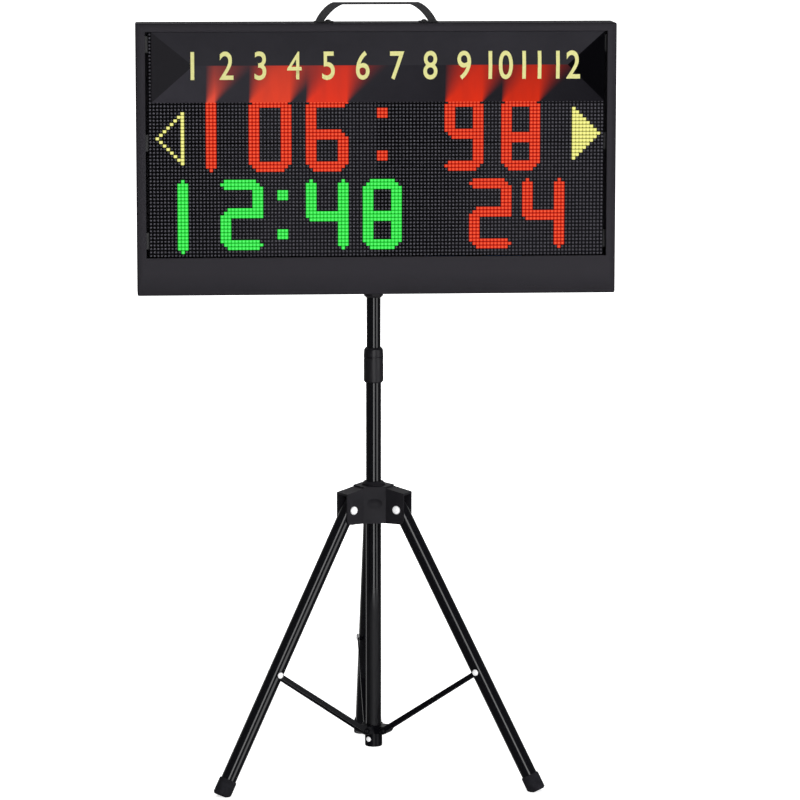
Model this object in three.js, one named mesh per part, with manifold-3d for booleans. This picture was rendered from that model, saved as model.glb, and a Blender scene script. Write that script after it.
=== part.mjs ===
// A portable electronic scoreboard on a folding tripod.
// Millimetres, +Z up. The mast stands on the Z axis of the scene graph until the last lines, which
// put the middle of the footprint at the origin. The lit face looks along -Y.
import * as THREE from 'three';
import { ConvexGeometry } from 'three/addons/geometries/ConvexGeometry.js';
import { mergeVertices } from 'three/addons/utils/BufferGeometryUtils.js';
import Module from 'manifold-3d';

const wasm = await Module();
wasm.setup();

// Driving dimensions

const GAP = 0.3; // running gap between pieces that touch
const OVERRUN = 2; // how far a cutting tool runs past a wall
const SHEET = 2; // wall of folded and moulded covers

// Lit face: a lattice of lamps, split into two by two modules
const LAMP_PITCH = 5;
const MODULE_COLUMNS = 64;
const MODULE_ROWS = 32;
const FACE_PLANE_Y = -32;
const MODULE_DEPTH = 14;
const MODULE_PLATE = 4;
const MODULE_RIM = 4;
const LOUVRE_REACH = 1.2;
const LOUVRE_THICKNESS = 0.9;

// Case, built round the lit face
const BEZEL_SIDE = 17;
const BEZEL_TOP = 7.5;
const BEZEL_BOTTOM = 53.5;
const WINDOW_SIDE_GAP = 4;
const WINDOW_TOP_LAP = 4;
const WINDOW_SILL_GAP = 0.5;
const CASE_FRONT_Y = -37;
const CASE_PARTING_Y = -17;
const CASE_BACK_Y = 23;
const CASE_CORNER = 2.5;
const CASE_EDGE = 1.5;
const FRAME_WALL = 2.5;
const POST_SIZE = 13;
const CASE_SCREW_R = 2;
const CASE_SCREW_HEAD_R = 4;
const CASE_SCREW_HEAD = 2.4;
const SCREW_CROWN_SHARE = 0.7;
const RAIL_HEIGHT = 24;
const RAIL_THICKNESS = 3;
const RAIL_INSET = 10;

// Header cover: a hipped strip over the top lamp rows
const HEADER_LEFT_INSET = 4.6; // leaves one lamp column bare
const HEADER_RIGHT_LAP = 0.2;
const HEADER_HEIGHT = 98.2;
const HEADER_CREASE_DROP = 46.4;
const HEADER_LEFT_HIP = 58;
const HEADER_RIGHT_HIP = 53;
const HEADER_RISE = 7.5;
const HEADER_EDGE = 2.2;

// Vents and fittings in the back
const VENT_COUNT = 9;
const VENT_WIDTH = 3.2;
const VENT_HEIGHT = 46;
const VENT_STEP = 9;
const VENT_CENTRE_X = 205;
const VENT_DROP = 94.5; // from the top of the case to the middle of the vents
const SWITCH_INSET = 75; // from the side of the case
const SWITCH_LIFT = 39.5; // from its floor
const SWITCH_WIDTH = 21;
const SWITCH_HEIGHT = 29;
const SWITCH_RIM = 2.4;
const SWITCH_FLANGE = 1.8;
const SWITCH_DEPTH = 17;
const SWITCH_TILT = 0.18;
const SWITCH_WELL = 8.1;
const ROCKER_AXLE_DEPTH = 3.6;
const rockerShares = { heel: 0.86, keel: 0.3 };
const ROCKER_AXLE_R = 1.5;
const INLET_STEP = 44; // from the switch
const INLET_R = 9;
const INLET_BORE_R = 4.6;
const INLET_DEPTH = 16;
const SOUND_HOLE_R = 1.8;
const SOUND_RING_R = 7.5;
const SOUND_HOLES = 6;

// Electronics inside
const SUPPLY_SIZE = { x: 165, y: 30, z: 97 };
const SUPPLY_X = -150;
const SUPPLY_LIFT = -42; // from the middle of the lit face, as the lifts below
const SUPPLY_SLOTS = 8;
const supplyShares = { terminal: 0.12, terminalDepth: 0.55, slotSpan: 0.6, slotMargin: 0.2 };
const BATTERY_CELL_R = 9.2;
const BATTERY_CELLS = 8;
const BATTERY_STEP_SHARE = 1.96; // of a cell's radius: the wrap pulls the cells together
const BATTERY_LENGTH = 138;
const BATTERY_X = 140;
const BATTERY_LIFT = 76.5; // from the case floor
const STRAP_WIDTH = 22;
const STRAP_THICKNESS = 1.4;
const STRAP_TAB = 9;
const CARD_SIZE = { x: 120, y: 1.6, z: 90 };
const CARD_X = 30;
const CARD_LIFT = 18;
// Chips and plug rows as shares of the card: left, right, bottom, top
const chipShares = [[0.2, 0.45, 0.25, 0.55], [0.55, 0.75, 0.35, 0.65], [0.1, 0.9, 0.82, 0.94],
  [0.1, 0.9, 0.05, 0.16]];
const STANDOFF_R = 3.5;
const STANDOFF_HEIGHT = 10;
const BUZZER_R = 16;
const BUZZER_DEPTH = 12;
const BUZZER_RIM_SHARE = 0.8;
const BUZZER_X = -60;
const BUZZER_LIFT = 61.5; // from the case floor

// Carrying handle on top
const HANDLE_HALF_SPAN = 85.5;
const HANDLE_FLAT_HALF = 60;
const HANDLE_THROAT = 12.4; // how much shorter the grip is inside
const HANDLE_HEIGHT = 28.1;
const HANDLE_THIN = 2.8;
const HANDLE_THICK = 10.6;
const HANDLE_WIDTH = 16;
const HANDLE_Y = -12;
const HANDLE_PAD_LENGTH = 27;
const HANDLE_PAD_THICKNESS = 1.8;
const HANDLE_SCREW_R = 2.2;
const HANDLE_SCREW_HEAD_R = 4.2;
const HANDLE_SCREW_LENGTH = 13;
const handleShares = { screwInPad: 0.28 };
// Where each bow of the handle bends, as shares of its run and rise
const bowShares = { outer: [[0.12, 0.32], [0.56, 0.88]], inner: [[0.2, 0.32], [0.51, 0.8]] };

// Mast, column and the twist collar between them
const TUBE_SIDES = 24;
const MAST_R = 10.1;
const MAST_WALL = 1;
const MAST_INSIDE = 352.8; // how much of it stands in the column
const MAST_SHOWN = 71.5;
const PLUG_DEPTH = 12;
const PLUG_LIP = 3;
const SOCKET_X = -2.7; // the socket stands a little to the left of the case's middle
const SOCKET_R = 13.7;
const SOCKET_BORE_R = 10.5;
const SOCKET_DROP = 8.2;
const SOCKET_DEPTH = 70;
const SOCKET_CHAMFER = 2.6;
const SOCKET_FLANGE_HALF = 26;
const SOCKET_FLANGE = 4;
const COLUMN_R = 11;
const COLUMN_WALL = 0.6;
const COLUMN_BOTTOM_Z = 42;
const COLUMN_LENGTH = 560.8;
const COLLAR_GRIP = 34.3; // how far it comes down over the column
const COLLAR_R = 14.1;
const COLLAR_CHAMFER = 2.8;
const TWIST_RING_HEIGHT = 14;
const TWIST_SLOPE = 0.6;
const TWIST_LIP = 3;
const COLLET_R = 12;
const COLLET_SLIT = 2.4;
const twistShares = { band: 0.32 };

// Hub that slides on the column, with three legs at its arms
const LEG_COUNT = 3;
const REAR_LEG_AZIMUTH = Math.PI / 2;
const HUB_SLIDE_GAP = 0.4;
const HUB_R = 14.6;
const HUB_BELOW = 20.5; // its ends, from the pivots of the legs
const HUB_ABOVE = 32;
const HUB_FRONT_REACH = 24.8; // from the axis to the flat front between two arms
const HUB_FRONT_HALF = 15.5;
const HUB_RING_R = 16.8;
const HUB_RING_HEIGHT = 5.6;
const HUB_RING_CHAMFER = 3.4;
const DIMPLE_DEPTH = 2.4;
const dimpleShares = { width: 0.8, height: 0.145, lift: 0.545 };
const ARM_TIP = 11.2; // how far an arm reaches past the pivot of its leg
const ARM_DROP = 8;
const ARM_WALL = 2.4;
const ARM_WEB = 3;
const HUB_PIVOT_R = 42.8;
const HUB_PIVOT_Z = 389;
const LEG_R = 11;
const LEG_WALL = 1.2;
const LEG_TOP = 15;
const BRACE_PIVOT_R = 167;
const BRACE_PIVOT_Z = 164.7;
const LEG_RIVET_SHANK_R = 3;
const LEG_RIVET_HEAD_R = 6.2;
const LEG_RIVET_HEAD = 2.4;
const FOOT_R = 12.8;
const FOOT_LENGTH = 25;
const FOOT_SOLE = 8.5;
const FOOT_EDGE = 2.2;
const FOOT_FLAT = 6; // how deep the floor cuts the sole's lowest corner

// Folded braces and the bracket at the column's foot
const FOOT_PIVOT_R = 20;
const FOOT_PIVOT_Z = 65;
const BRACE_WIDTH = 6;
const BRACE_WALL = 1.5;
const BRACE_EYE_R = 5;
const BRACE_SLOT_TOP = 88;
const BRACE_SLOT_FOOT = 12;
const BRACE_RIVET_HEAD_R = 4.7;
const BRACE_RIVET_HEAD = 1.9;
const BRACE_RIVET_SHANK_R = 2.2;
const BRACKET_R = 12.5;
const BRACKET_HEIGHT = 31;
const BRACKET_FLOOR = 1.8;
const BRACKET_LUG_R = 5.6;
const COLUMN_RIVET_LIFT = 9; // above the column's end
const COLUMN_RIVET_AZIMUTH = Math.PI * 1.29;
const COLUMN_RIVET_R = 2;
const COLUMN_RIVET_HEAD_R = 4;
const COLUMN_RIVET_HEAD = 1.7;
const COLUMN_RIVET_GRIP = 5;

// Thumb screws
const KNOB_R = 13.5;
const KNOB_LOBE = 1.6;
const KNOB_LOBES = 6;
const KNOB_THICKNESS = 13;
const KNOB_NECK_R = 7;
const KNOB_NECK = 6;
const KNOB_SCREW_R = 3;
const SOCKET_SCREW_LIFT = 34.5; // from the case floor
const HUB_SCREW_AZIMUTH = Math.PI / 6;
const HUB_SCREW_LIFT = 1; // from the pivots of the legs
const HUB_BOSS_R = 7;
const HUB_BOSS_REACH = 28;

// Places that follow from the sizes, from the floor up

const columnTop = COLUMN_BOTTOM_Z + COLUMN_LENGTH;
const collarBottom = columnTop - COLLAR_GRIP;
const ringBottom = columnTop + SHEET;
const collarTop = ringBottom + TWIST_RING_HEIGHT;
const mastBottom = columnTop - MAST_INSIDE;
const socketBottom = collarTop + MAST_SHOWN;
const caseBottom = socketBottom + SOCKET_DROP;
const moduleBottom = caseBottom + BEZEL_BOTTOM;
const moduleWidth = MODULE_COLUMNS * LAMP_PITCH;
const moduleHeight = MODULE_ROWS * LAMP_PITCH;
const faceCentre = moduleBottom + moduleHeight;
const moduleTop = faceCentre + moduleHeight;
const caseTop = moduleTop + BEZEL_TOP;
const windowTop = moduleTop - WINDOW_TOP_LAP;
const windowBottom = moduleBottom - WINDOW_SILL_GAP;
const windowHalf = moduleWidth + WINDOW_SIDE_GAP;
const halfCase = moduleWidth + BEZEL_SIDE;
const switchX = -halfCase + SWITCH_INSET;
const switchZ = caseBottom + SWITCH_LIFT;
const socketScrewZ = caseBottom + SOCKET_SCREW_LIFT;
const hubBottom = HUB_PIVOT_Z - HUB_BELOW;
const hubTop = HUB_PIVOT_Z + HUB_ABOVE;
const hubScrewZ = HUB_PIVOT_Z + HUB_SCREW_LIFT;
const armReach = HUB_PIVOT_R + ARM_TIP;
const columnRivetZ = COLUMN_BOTTOM_Z + COLUMN_RIVET_LIFT;

// Materials

function paint(color, roughness, metalness) {
  return new THREE.MeshStandardMaterial({ color, roughness, metalness });
}
const casePaint = paint(0x2f2e32, 0.5, 0.2);
const maskPlastic = paint(0x0c0c0e, 0.7, 0);
const tubePaint = paint(0x17171c, 0.25, 0.3);
const hubPlastic = paint(0x2b2a2e, 0.55, 0);
const brightSteel = paint(0xd8d8da, 0.3, 0.9);
const blackSteel = paint(0x1c1c1f, 0.4, 0.5);
const rubber = paint(0x26262a, 0.85, 0);
const zincSteel = paint(0x9a9ca0, 0.4, 0.8);
const boardGreen = paint(0x1d5b38, 0.5, 0);
const wrapBlue = paint(0x2a5a9c, 0.4, 0);

// Solids: three.js geometry made closed, and cut or joined where a piece needs it

function signedVolume(geometry) {
  const p = geometry.getAttribute('position');
  const index = geometry.index;
  const corner = [new THREE.Vector3(), new THREE.Vector3(), new THREE.Vector3()];
  let sum = 0;
  for (let i = 0; i < index.count; i += 3) {
    for (let k = 0; k < 3; k++) {
      corner[k].fromBufferAttribute(p, index.getX(i + k));
    }
    sum += corner[0].dot(corner[1].cross(corner[2]));
  }
  return sum;
}

function closed(geometry) {
  const bare = geometry.clone();
  bare.deleteAttribute('normal');
  bare.deleteAttribute('uv');
  const welded = mergeVertices(bare, GAP / 100);
  const kept = [];
  const index = welded.index;
  for (let i = 0; i < index.count; i += 3) {
    const [a, b, c] = [index.getX(i), index.getX(i + 1), index.getX(i + 2)];
    if (a !== b && b !== c && c !== a) {
      kept.push(a, b, c);
    }
  }
  welded.setIndex(kept);
  if (signedVolume(welded) < 0) {
    for (let i = 0; i < kept.length; i += 3) {
      [kept[i + 1], kept[i + 2]] = [kept[i + 2], kept[i + 1]];
    }
    welded.setIndex(kept);
  }
  return welded;
}

function solid(geometry) {
  const shape = closed(geometry);
  const mesh = new wasm.Mesh({
    numProp: 3,
    vertProperties: new Float32Array(shape.getAttribute('position').array),
    triVerts: new Uint32Array(shape.index.array),
  });
  return new wasm.Manifold(mesh);
}

function geometryOf(manifold) {
  const mesh = manifold.getMesh();
  const geometry = new THREE.BufferGeometry();
  geometry.setAttribute('position', new THREE.BufferAttribute(mesh.vertProperties, 3));
  geometry.setIndex(new THREE.BufferAttribute(mesh.triVerts, 1));
  geometry.computeVertexNormals();
  return geometry;
}

function joined(first, ...rest) {
  return rest.reduce((sum, part) => sum.add(part), first);
}

function cut(body, ...tools) {
  return tools.reduce((left, tool) => left.subtract(tool), body);
}

function named(name, shape, material) {
  const geometry = shape.isBufferGeometry ? closed(shape) : geometryOf(shape);
  const mesh = new THREE.Mesh(geometry, material);
  mesh.name = name;
  return mesh;
}

// A box between two corners
function block(x0, x1, y0, y1, z0, z1) {
  const geometry = new THREE.BoxGeometry(x1 - x0, y1 - y0, z1 - z0);
  geometry.translate((x0 + x1) / 2, (y0 + y1) / 2, (z0 + z1) / 2);
  return geometry;
}

// A turned piece on the Z axis from a closed profile of [radius, height] pairs
function turned(profile, sides = TUBE_SIDES) {
  const points = profile.map(([r, z]) => new THREE.Vector2(r, z));
  return new THREE.LatheGeometry(points, sides).rotateX(Math.PI / 2);
}

function rod(radius, z0, z1, sides = TUBE_SIDES) {
  return turned([[0, z0], [radius, z0], [radius, z1], [0, z1]], sides);
}

function tube(outer, inner, z0, z1, sides = TUBE_SIDES) {
  return turned([[inner, z0], [outer, z0], [outer, z1], [inner, z1], [inner, z0]], sides);
}

// The points of a domed head from its rim to its top, as shares of its radius and height
const domeShares = [[0.8, 0.6], [0.4, 0.93], [0, 1]];

function dome(radius, base, top) {
  return domeShares.map(([r, h]) => [radius * r, base + (top - base) * h]);
}

// A rod along X, Y or Z through a place
function crossRod(radius, from, to, axis, place, sides = 16) {
  const geometry = rod(radius, from, to, sides);
  if (axis === 'x') {
    geometry.rotateY(Math.PI / 2);
  }
  if (axis === 'y') {
    geometry.rotateX(-Math.PI / 2);
  }
  return geometry.translate(place.x ?? 0, place.y ?? 0, place.z ?? 0);
}

// An outline in X and Z, drawn upright and extruded from y0 to y1
function upright(shape, y0, y1, curveSegments = 6) {
  const geometry = new THREE.ExtrudeGeometry(shape, { depth: y1 - y0, bevelEnabled: false, curveSegments });
  return geometry.rotateX(Math.PI / 2).translate(0, y1, 0);
}

function roundedOutline(x0, x1, z0, z1, corner) {
  const shape = new THREE.Shape();
  shape.moveTo(x0 + corner, z0);
  shape.lineTo(x1 - corner, z0);
  shape.absarc(x1 - corner, z0 + corner, corner, -Math.PI / 2, 0);
  shape.lineTo(x1, z1 - corner);
  shape.absarc(x1 - corner, z1 - corner, corner, 0, Math.PI / 2);
  shape.lineTo(x0 + corner, z1);
  shape.absarc(x0 + corner, z1 - corner, corner, Math.PI / 2, Math.PI);
  shape.lineTo(x0, z0 + corner);
  shape.absarc(x0 + corner, z0 + corner, corner, Math.PI, Math.PI * 1.5);
  return shape;
}

// A plate whose outline shrinks by a chamfer on one of its faces
function chamferedSlab(x0, x1, z0, z1, corner, yEdge, yFace, chamfer) {
  const points = [];
  const lean = Math.sign(yFace - yEdge) * chamfer;
  const rings = [[yEdge, 0], [yFace - lean, 0], [yFace, chamfer]];
  for (const [y, inset] of rings) {
    const outline = roundedOutline(x0 + inset, x1 - inset, z0 + inset, z1 - inset, corner);
    for (const p of outline.getPoints(3)) {
      points.push(new THREE.Vector3(p.x, y, p.y));
    }
  }
  return new ConvexGeometry(points);
}

// Case

const frameInner = halfCase - FRAME_WALL;
const caseInnerTop = caseTop - FRAME_WALL;
const caseInnerBottom = caseBottom + FRAME_WALL;
const backInside = CASE_BACK_Y - SHEET;
const inletX = switchX + INLET_STEP;
const buzzerZ = caseBottom + BUZZER_LIFT;
const flangeBack = FACE_PLANE_Y - LOUVRE_REACH - GAP;
const postX = halfCase - FRAME_WALL - POST_SIZE / 2;
const postZs = [caseInnerBottom + POST_SIZE / 2, caseInnerTop - POST_SIZE / 2];
const postPlaces = postZs.flatMap((z) => [-postX, postX].map((x) => ({ x, z })));

// A square post that bites into the walls beside it
function postBlock(place, y0, y1) {
  const half = POST_SIZE / 2 + FRAME_WALL - SHEET;
  return solid(block(place.x - half, place.x + half, y0, y1, place.z - half, place.z + half));
}

// The picture-frame moulding round the lit face, with a lug in each corner for the case screws
function frontFrame() {
  const slab = solid(chamferedSlab(-halfCase, halfCase, caseBottom, caseTop, CASE_CORNER,
    CASE_PARTING_Y, CASE_FRONT_Y, CASE_EDGE));
  const hollow = solid(block(-frameInner, frameInner, flangeBack, CASE_PARTING_Y + OVERRUN,
    caseInnerBottom, caseInnerTop));
  const window = solid(block(-windowHalf, windowHalf, CASE_FRONT_Y - OVERRUN,
    flangeBack + OVERRUN, windowBottom, windowTop));
  const lugFront = CASE_PARTING_Y - POST_SIZE;
  const room = solid(block(-windowHalf, windowHalf, flangeBack, CASE_PARTING_Y + OVERRUN,
    windowBottom - MODULE_RIM, moduleTop + GAP));
  const lugs = postPlaces.map((p) => postBlock(p, lugFront, CASE_PARTING_Y).subtract(room));
  const holes = postPlaces.map((p) => solid(crossRod(CASE_SCREW_R + GAP, lugFront + SHEET,
    CASE_PARTING_Y + OVERRUN, 'y', p, 10)));
  const shell = cut(slab, hollow, window);
  const inside = slab.intersect(joined(shell, ...lugs));
  return cut(inside, ...holes);
}

// The back pan: walls, corner posts, vents, sound holes and the holes for what is fitted into it
function rearCase() {
  const front = CASE_PARTING_Y + GAP;
  const slab = solid(chamferedSlab(-halfCase, halfCase, caseBottom, caseTop, CASE_CORNER,
    front, CASE_BACK_Y, CASE_EDGE * 2));
  const hollow = solid(block(-halfCase + SHEET, halfCase - SHEET, front - OVERRUN, backInside,
    caseBottom + SHEET, caseTop - SHEET));
  const posts = postPlaces.map((p) => postBlock(p, front, CASE_BACK_Y - CASE_EDGE));
  const screwHoles = postPlaces.map((p) => solid(crossRod(CASE_SCREW_R + GAP, front - OVERRUN,
    CASE_BACK_Y + OVERRUN, 'y', p, 10)));
  const vents = [];
  const ventZ = caseTop - VENT_DROP;
  for (const side of [-1, 1]) {
    for (let i = 0; i < VENT_COUNT; i++) {
      const x = side * VENT_CENTRE_X + (i - (VENT_COUNT - 1) / 2) * VENT_STEP;
      vents.push(solid(block(x - VENT_WIDTH / 2, x + VENT_WIDTH / 2, backInside - OVERRUN,
        CASE_BACK_Y + OVERRUN, ventZ - VENT_HEIGHT / 2, ventZ + VENT_HEIGHT / 2)));
    }
  }
  const soundHoles = [];
  for (let i = 0; i < SOUND_HOLES; i++) {
    const turn = (i / SOUND_HOLES) * 2 * Math.PI;
    const place = { x: BUZZER_X + SOUND_RING_R * Math.cos(turn), z: buzzerZ + SOUND_RING_R * Math.sin(turn) };
    soundHoles.push(backHole(SOUND_HOLE_R, place, 8));
  }
  const fittings = [
    solid(rod(SOCKET_R + GAP, caseBottom - OVERRUN, caseBottom + SHEET + OVERRUN).translate(SOCKET_X, 0, 0)),
    backHole(KNOB_SCREW_R + GAP * 2, { x: SOCKET_X, z: socketScrewZ }, 12),
    backHole(INLET_R + GAP, { x: inletX, z: switchZ }, 24),
    solid(block(switchX - SWITCH_WIDTH / 2 - GAP, switchX + SWITCH_WIDTH / 2 + GAP, backInside - OVERRUN,
      CASE_BACK_Y + OVERRUN, switchZ - SWITCH_HEIGHT / 2 - GAP, switchZ + SWITCH_HEIGHT / 2 + GAP)),
    ...handleScrewXs.map((x) => solid(rod(HANDLE_SCREW_R + GAP, caseTop - SHEET - OVERRUN,
      caseTop + OVERRUN, 12).translate(x, HANDLE_Y, 0))),
  ];
  const pan = slab.intersect(joined(cut(slab, hollow), ...posts));
  return cut(pan, ...screwHoles, ...vents, ...soundHoles, ...fittings);
}

function backHole(radius, place, sides) {
  return solid(crossRod(radius, backInside - OVERRUN, CASE_BACK_Y + OVERRUN, 'y', place, sides));
}

function caseScrew(place) {
  const crown = CASE_SCREW_HEAD_R * SCREW_CROWN_SHARE;
  const head = [[0, CASE_BACK_Y + CASE_SCREW_HEAD], [crown, CASE_BACK_Y + CASE_SCREW_HEAD],
    [CASE_SCREW_HEAD_R, CASE_BACK_Y + CASE_SCREW_HEAD / 2], [CASE_SCREW_HEAD_R, CASE_BACK_Y + GAP]];
  const shank = [[CASE_SCREW_R, CASE_BACK_Y + GAP], [CASE_SCREW_R, CASE_PARTING_Y - POST_SIZE / 2],
    [0, CASE_PARTING_Y - POST_SIZE / 2]];
  return turned([...head, ...shank], 12).rotateX(-Math.PI / 2).translate(place.x, 0, place.z);
}

// Lit face

const moduleBackY = FACE_PLANE_Y + MODULE_DEPTH;

// One lamp module: a mask with a louvre over every lamp row, on a rimmed back frame
function ledModule(x0, z0) {
  const half = GAP / 2;
  const outline = new THREE.Shape();
  outline.moveTo(moduleBackY, z0 + half);
  outline.lineTo(FACE_PLANE_Y, z0 + half);
  for (let row = 1; row <= MODULE_ROWS; row++) {
    const top = z0 + row * LAMP_PITCH - (row === MODULE_ROWS ? half : 0);
    outline.lineTo(FACE_PLANE_Y, top - LOUVRE_THICKNESS);
    outline.lineTo(FACE_PLANE_Y - LOUVRE_REACH, top - LOUVRE_THICKNESS);
    outline.lineTo(FACE_PLANE_Y - LOUVRE_REACH, top - LOUVRE_THICKNESS / 3);
    outline.lineTo(FACE_PLANE_Y, top);
  }
  outline.lineTo(moduleBackY, z0 + moduleHeight - half);
  const width = moduleWidth - GAP;
  const bar = new THREE.ExtrudeGeometry(outline, { depth: width, bevelEnabled: false });
  bar.rotateY(Math.PI / 2).rotateX(Math.PI / 2).translate(x0 + half, 0, 0);
  const pocketY = FACE_PLANE_Y + MODULE_PLATE;
  const middle = x0 + moduleWidth / 2;
  const pockets = [[x0 + MODULE_RIM, middle - MODULE_RIM / 2], [middle + MODULE_RIM / 2,
    x0 + moduleWidth - MODULE_RIM]];
  const tools = pockets.map(([a, b]) => solid(block(a, b, pocketY, moduleBackY + OVERRUN,
    z0 + MODULE_RIM, z0 + moduleHeight - MODULE_RIM)));
  return cut(solid(bar), ...tools);
}

// A hipped solid: a flat back, a short upright edge all round, and four slopes that meet at a crease
function hipped(left, right, bottom, top, crease, backY, edge, rise, leftHip, rightHip) {
  const corners = [[left, bottom], [right, bottom], [right, top], [left, top]];
  const points = corners.flatMap(([x, z]) => [new THREE.Vector3(x, backY, z),
    new THREE.Vector3(x, backY - edge, z)]);
  points.push(new THREE.Vector3(left + leftHip, backY - edge - rise, crease));
  points.push(new THREE.Vector3(right - rightHip, backY - edge - rise, crease));
  return new ConvexGeometry(points);
}

function headerCover() {
  const backY = FACE_PLANE_Y - LOUVRE_REACH - GAP;
  const [left, right] = [-moduleWidth + HEADER_LEFT_INSET, moduleWidth + HEADER_RIGHT_LAP];
  const top = windowTop - GAP;
  const bottom = top - HEADER_HEIGHT;
  const crease = top - HEADER_CREASE_DROP;
  const outer = solid(hipped(left, right, bottom, top, crease, backY, HEADER_EDGE, HEADER_RISE,
    HEADER_LEFT_HIP, HEADER_RIGHT_HIP));
  const inner = solid(hipped(left + SHEET, right - SHEET, bottom + SHEET, top - SHEET, crease,
    backY + OVERRUN, HEADER_EDGE + OVERRUN - SHEET, HEADER_RISE, HEADER_LEFT_HIP, HEADER_RIGHT_HIP));
  return outer.subtract(inner);
}

const railY = moduleBackY + GAP;
const railZs = { top: moduleTop - RAIL_INSET - RAIL_HEIGHT / 2, middle: faceCentre,
  bottom: moduleBottom + RAIL_INSET + RAIL_HEIGHT / 2 };

// A flat cross bar that the modules are screwed to, reaching from wall to wall of the case
function moduleRail(z) {
  const reach = frameInner - GAP;
  return block(-reach, reach, railY, railY + RAIL_THICKNESS, z - RAIL_HEIGHT / 2, z + RAIL_HEIGHT / 2);
}

// Electronics on the back pan

function powerSupply() {
  const y1 = backInside - GAP;
  const y0 = y1 - SUPPLY_SIZE.y;
  const [x0, x1] = [SUPPLY_X - SUPPLY_SIZE.x / 2, SUPPLY_X + SUPPLY_SIZE.x / 2];
  const middle = faceCentre + SUPPLY_LIFT;
  const [z0, z1] = [middle - SUPPLY_SIZE.z / 2, middle + SUPPLY_SIZE.z / 2];
  const body = solid(block(x0, x1, y0, y1, z0, z1));
  const terminal = SUPPLY_SIZE.x * supplyShares.terminal;
  const notch = solid(block(x1 - terminal, x1 + OVERRUN, y0 - OVERRUN,
    y0 + SUPPLY_SIZE.y * supplyShares.terminalDepth, z0 + SHEET * 3, z1 - SHEET * 3));
  const slots = [];
  const step = (SUPPLY_SIZE.x * supplyShares.slotSpan) / SUPPLY_SLOTS;
  const margin = SUPPLY_SIZE.z * supplyShares.slotMargin;
  for (let i = 0; i < SUPPLY_SLOTS; i++) {
    const x = x0 + terminal + i * step;
    slots.push(solid(block(x, x + step / 2, y0 - OVERRUN, y0 + SHEET, z0 + margin, z1 - margin)));
  }
  return cut(body, notch, ...slots);
}

const cellStep = BATTERY_CELL_R * BATTERY_STEP_SHARE;
const cellRow = BATTERY_CELLS / 2;
const cellFirstZ = caseBottom + BATTERY_LIFT - (cellStep * (cellRow - 1)) / 2;
const cellY = backInside - GAP - BATTERY_CELL_R;

// Round cells side by side under one wrap
function batteryPack() {
  const cells = [];
  for (let i = 0; i < cellRow; i++) {
    const place = { x: BATTERY_X, y: cellY, z: cellFirstZ + i * cellStep };
    cells.push(solid(crossRod(BATTERY_CELL_R, -BATTERY_LENGTH / 2, BATTERY_LENGTH / 2, 'x', place, 16)));
  }
  return joined(...cells);
}

// A bent strap over the pack, with a tab at each end on the back pan
function batteryStrap() {
  const [x0, x1] = [BATTERY_X - STRAP_WIDTH / 2, BATTERY_X + STRAP_WIDTH / 2];
  const low = cellFirstZ - BATTERY_CELL_R - GAP;
  const high = cellFirstZ + cellStep * (cellRow - 1) + BATTERY_CELL_R + GAP;
  const front = cellY - BATTERY_CELL_R - GAP;
  const back = backInside - GAP;
  const bend = solid(block(x0, x1, front - STRAP_THICKNESS, back, low - STRAP_THICKNESS,
    high + STRAP_THICKNESS));
  const room = solid(block(x0 - OVERRUN, x1 + OVERRUN, front, back + OVERRUN, low, high));
  const tabs = [[low - STRAP_TAB, low], [high, high + STRAP_TAB]].map(([z0, z1]) =>
    solid(block(x0, x1, back - STRAP_THICKNESS, back, z0, z1)));
  return joined(cut(bend, room), ...tabs);
}

function controlCard() {
  const y1 = backInside - GAP;
  const y0 = y1 - STANDOFF_HEIGHT;
  const [x0, x1] = [CARD_X - CARD_SIZE.x / 2, CARD_X + CARD_SIZE.x / 2];
  const middle = faceCentre + CARD_LIFT;
  const [z0, z1] = [middle - CARD_SIZE.z / 2, middle + CARD_SIZE.z / 2];
  const card = solid(block(x0, x1, y0 - CARD_SIZE.y, y0, z0, z1));
  const inset = STANDOFF_R + SHEET;
  const feet = [x0 + inset, x1 - inset].flatMap((x) => [z0 + inset, z1 - inset].map((z) =>
    solid(crossRod(STANDOFF_R, y0 - CARD_SIZE.y / 2, y1, 'y', { x, z }, 8))));
  const chipTop = y0 - CARD_SIZE.y - SHEET;
  const chips = chipShares.map(([a, b, c, d]) => solid(block(x0 + a * CARD_SIZE.x, x0 + b * CARD_SIZE.x,
    chipTop, y0 - CARD_SIZE.y / 2, z0 + c * CARD_SIZE.z, z0 + d * CARD_SIZE.z)));
  return joined(card, ...feet, ...chips);
}

function buzzer() {
  const y1 = backInside - GAP;
  const y0 = y1 - BUZZER_DEPTH;
  const rim = BUZZER_R * BUZZER_RIM_SHARE;
  const profile = [[0, y0], [BUZZER_R, y0], [BUZZER_R, y1], [rim, y1], [rim, y1 - SHEET], [0, y1 - SHEET]];
  return turned(profile, 20).rotateX(-Math.PI / 2).translate(BUZZER_X, 0, buzzerZ);
}

// Switch and charging inlet in the back

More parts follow.
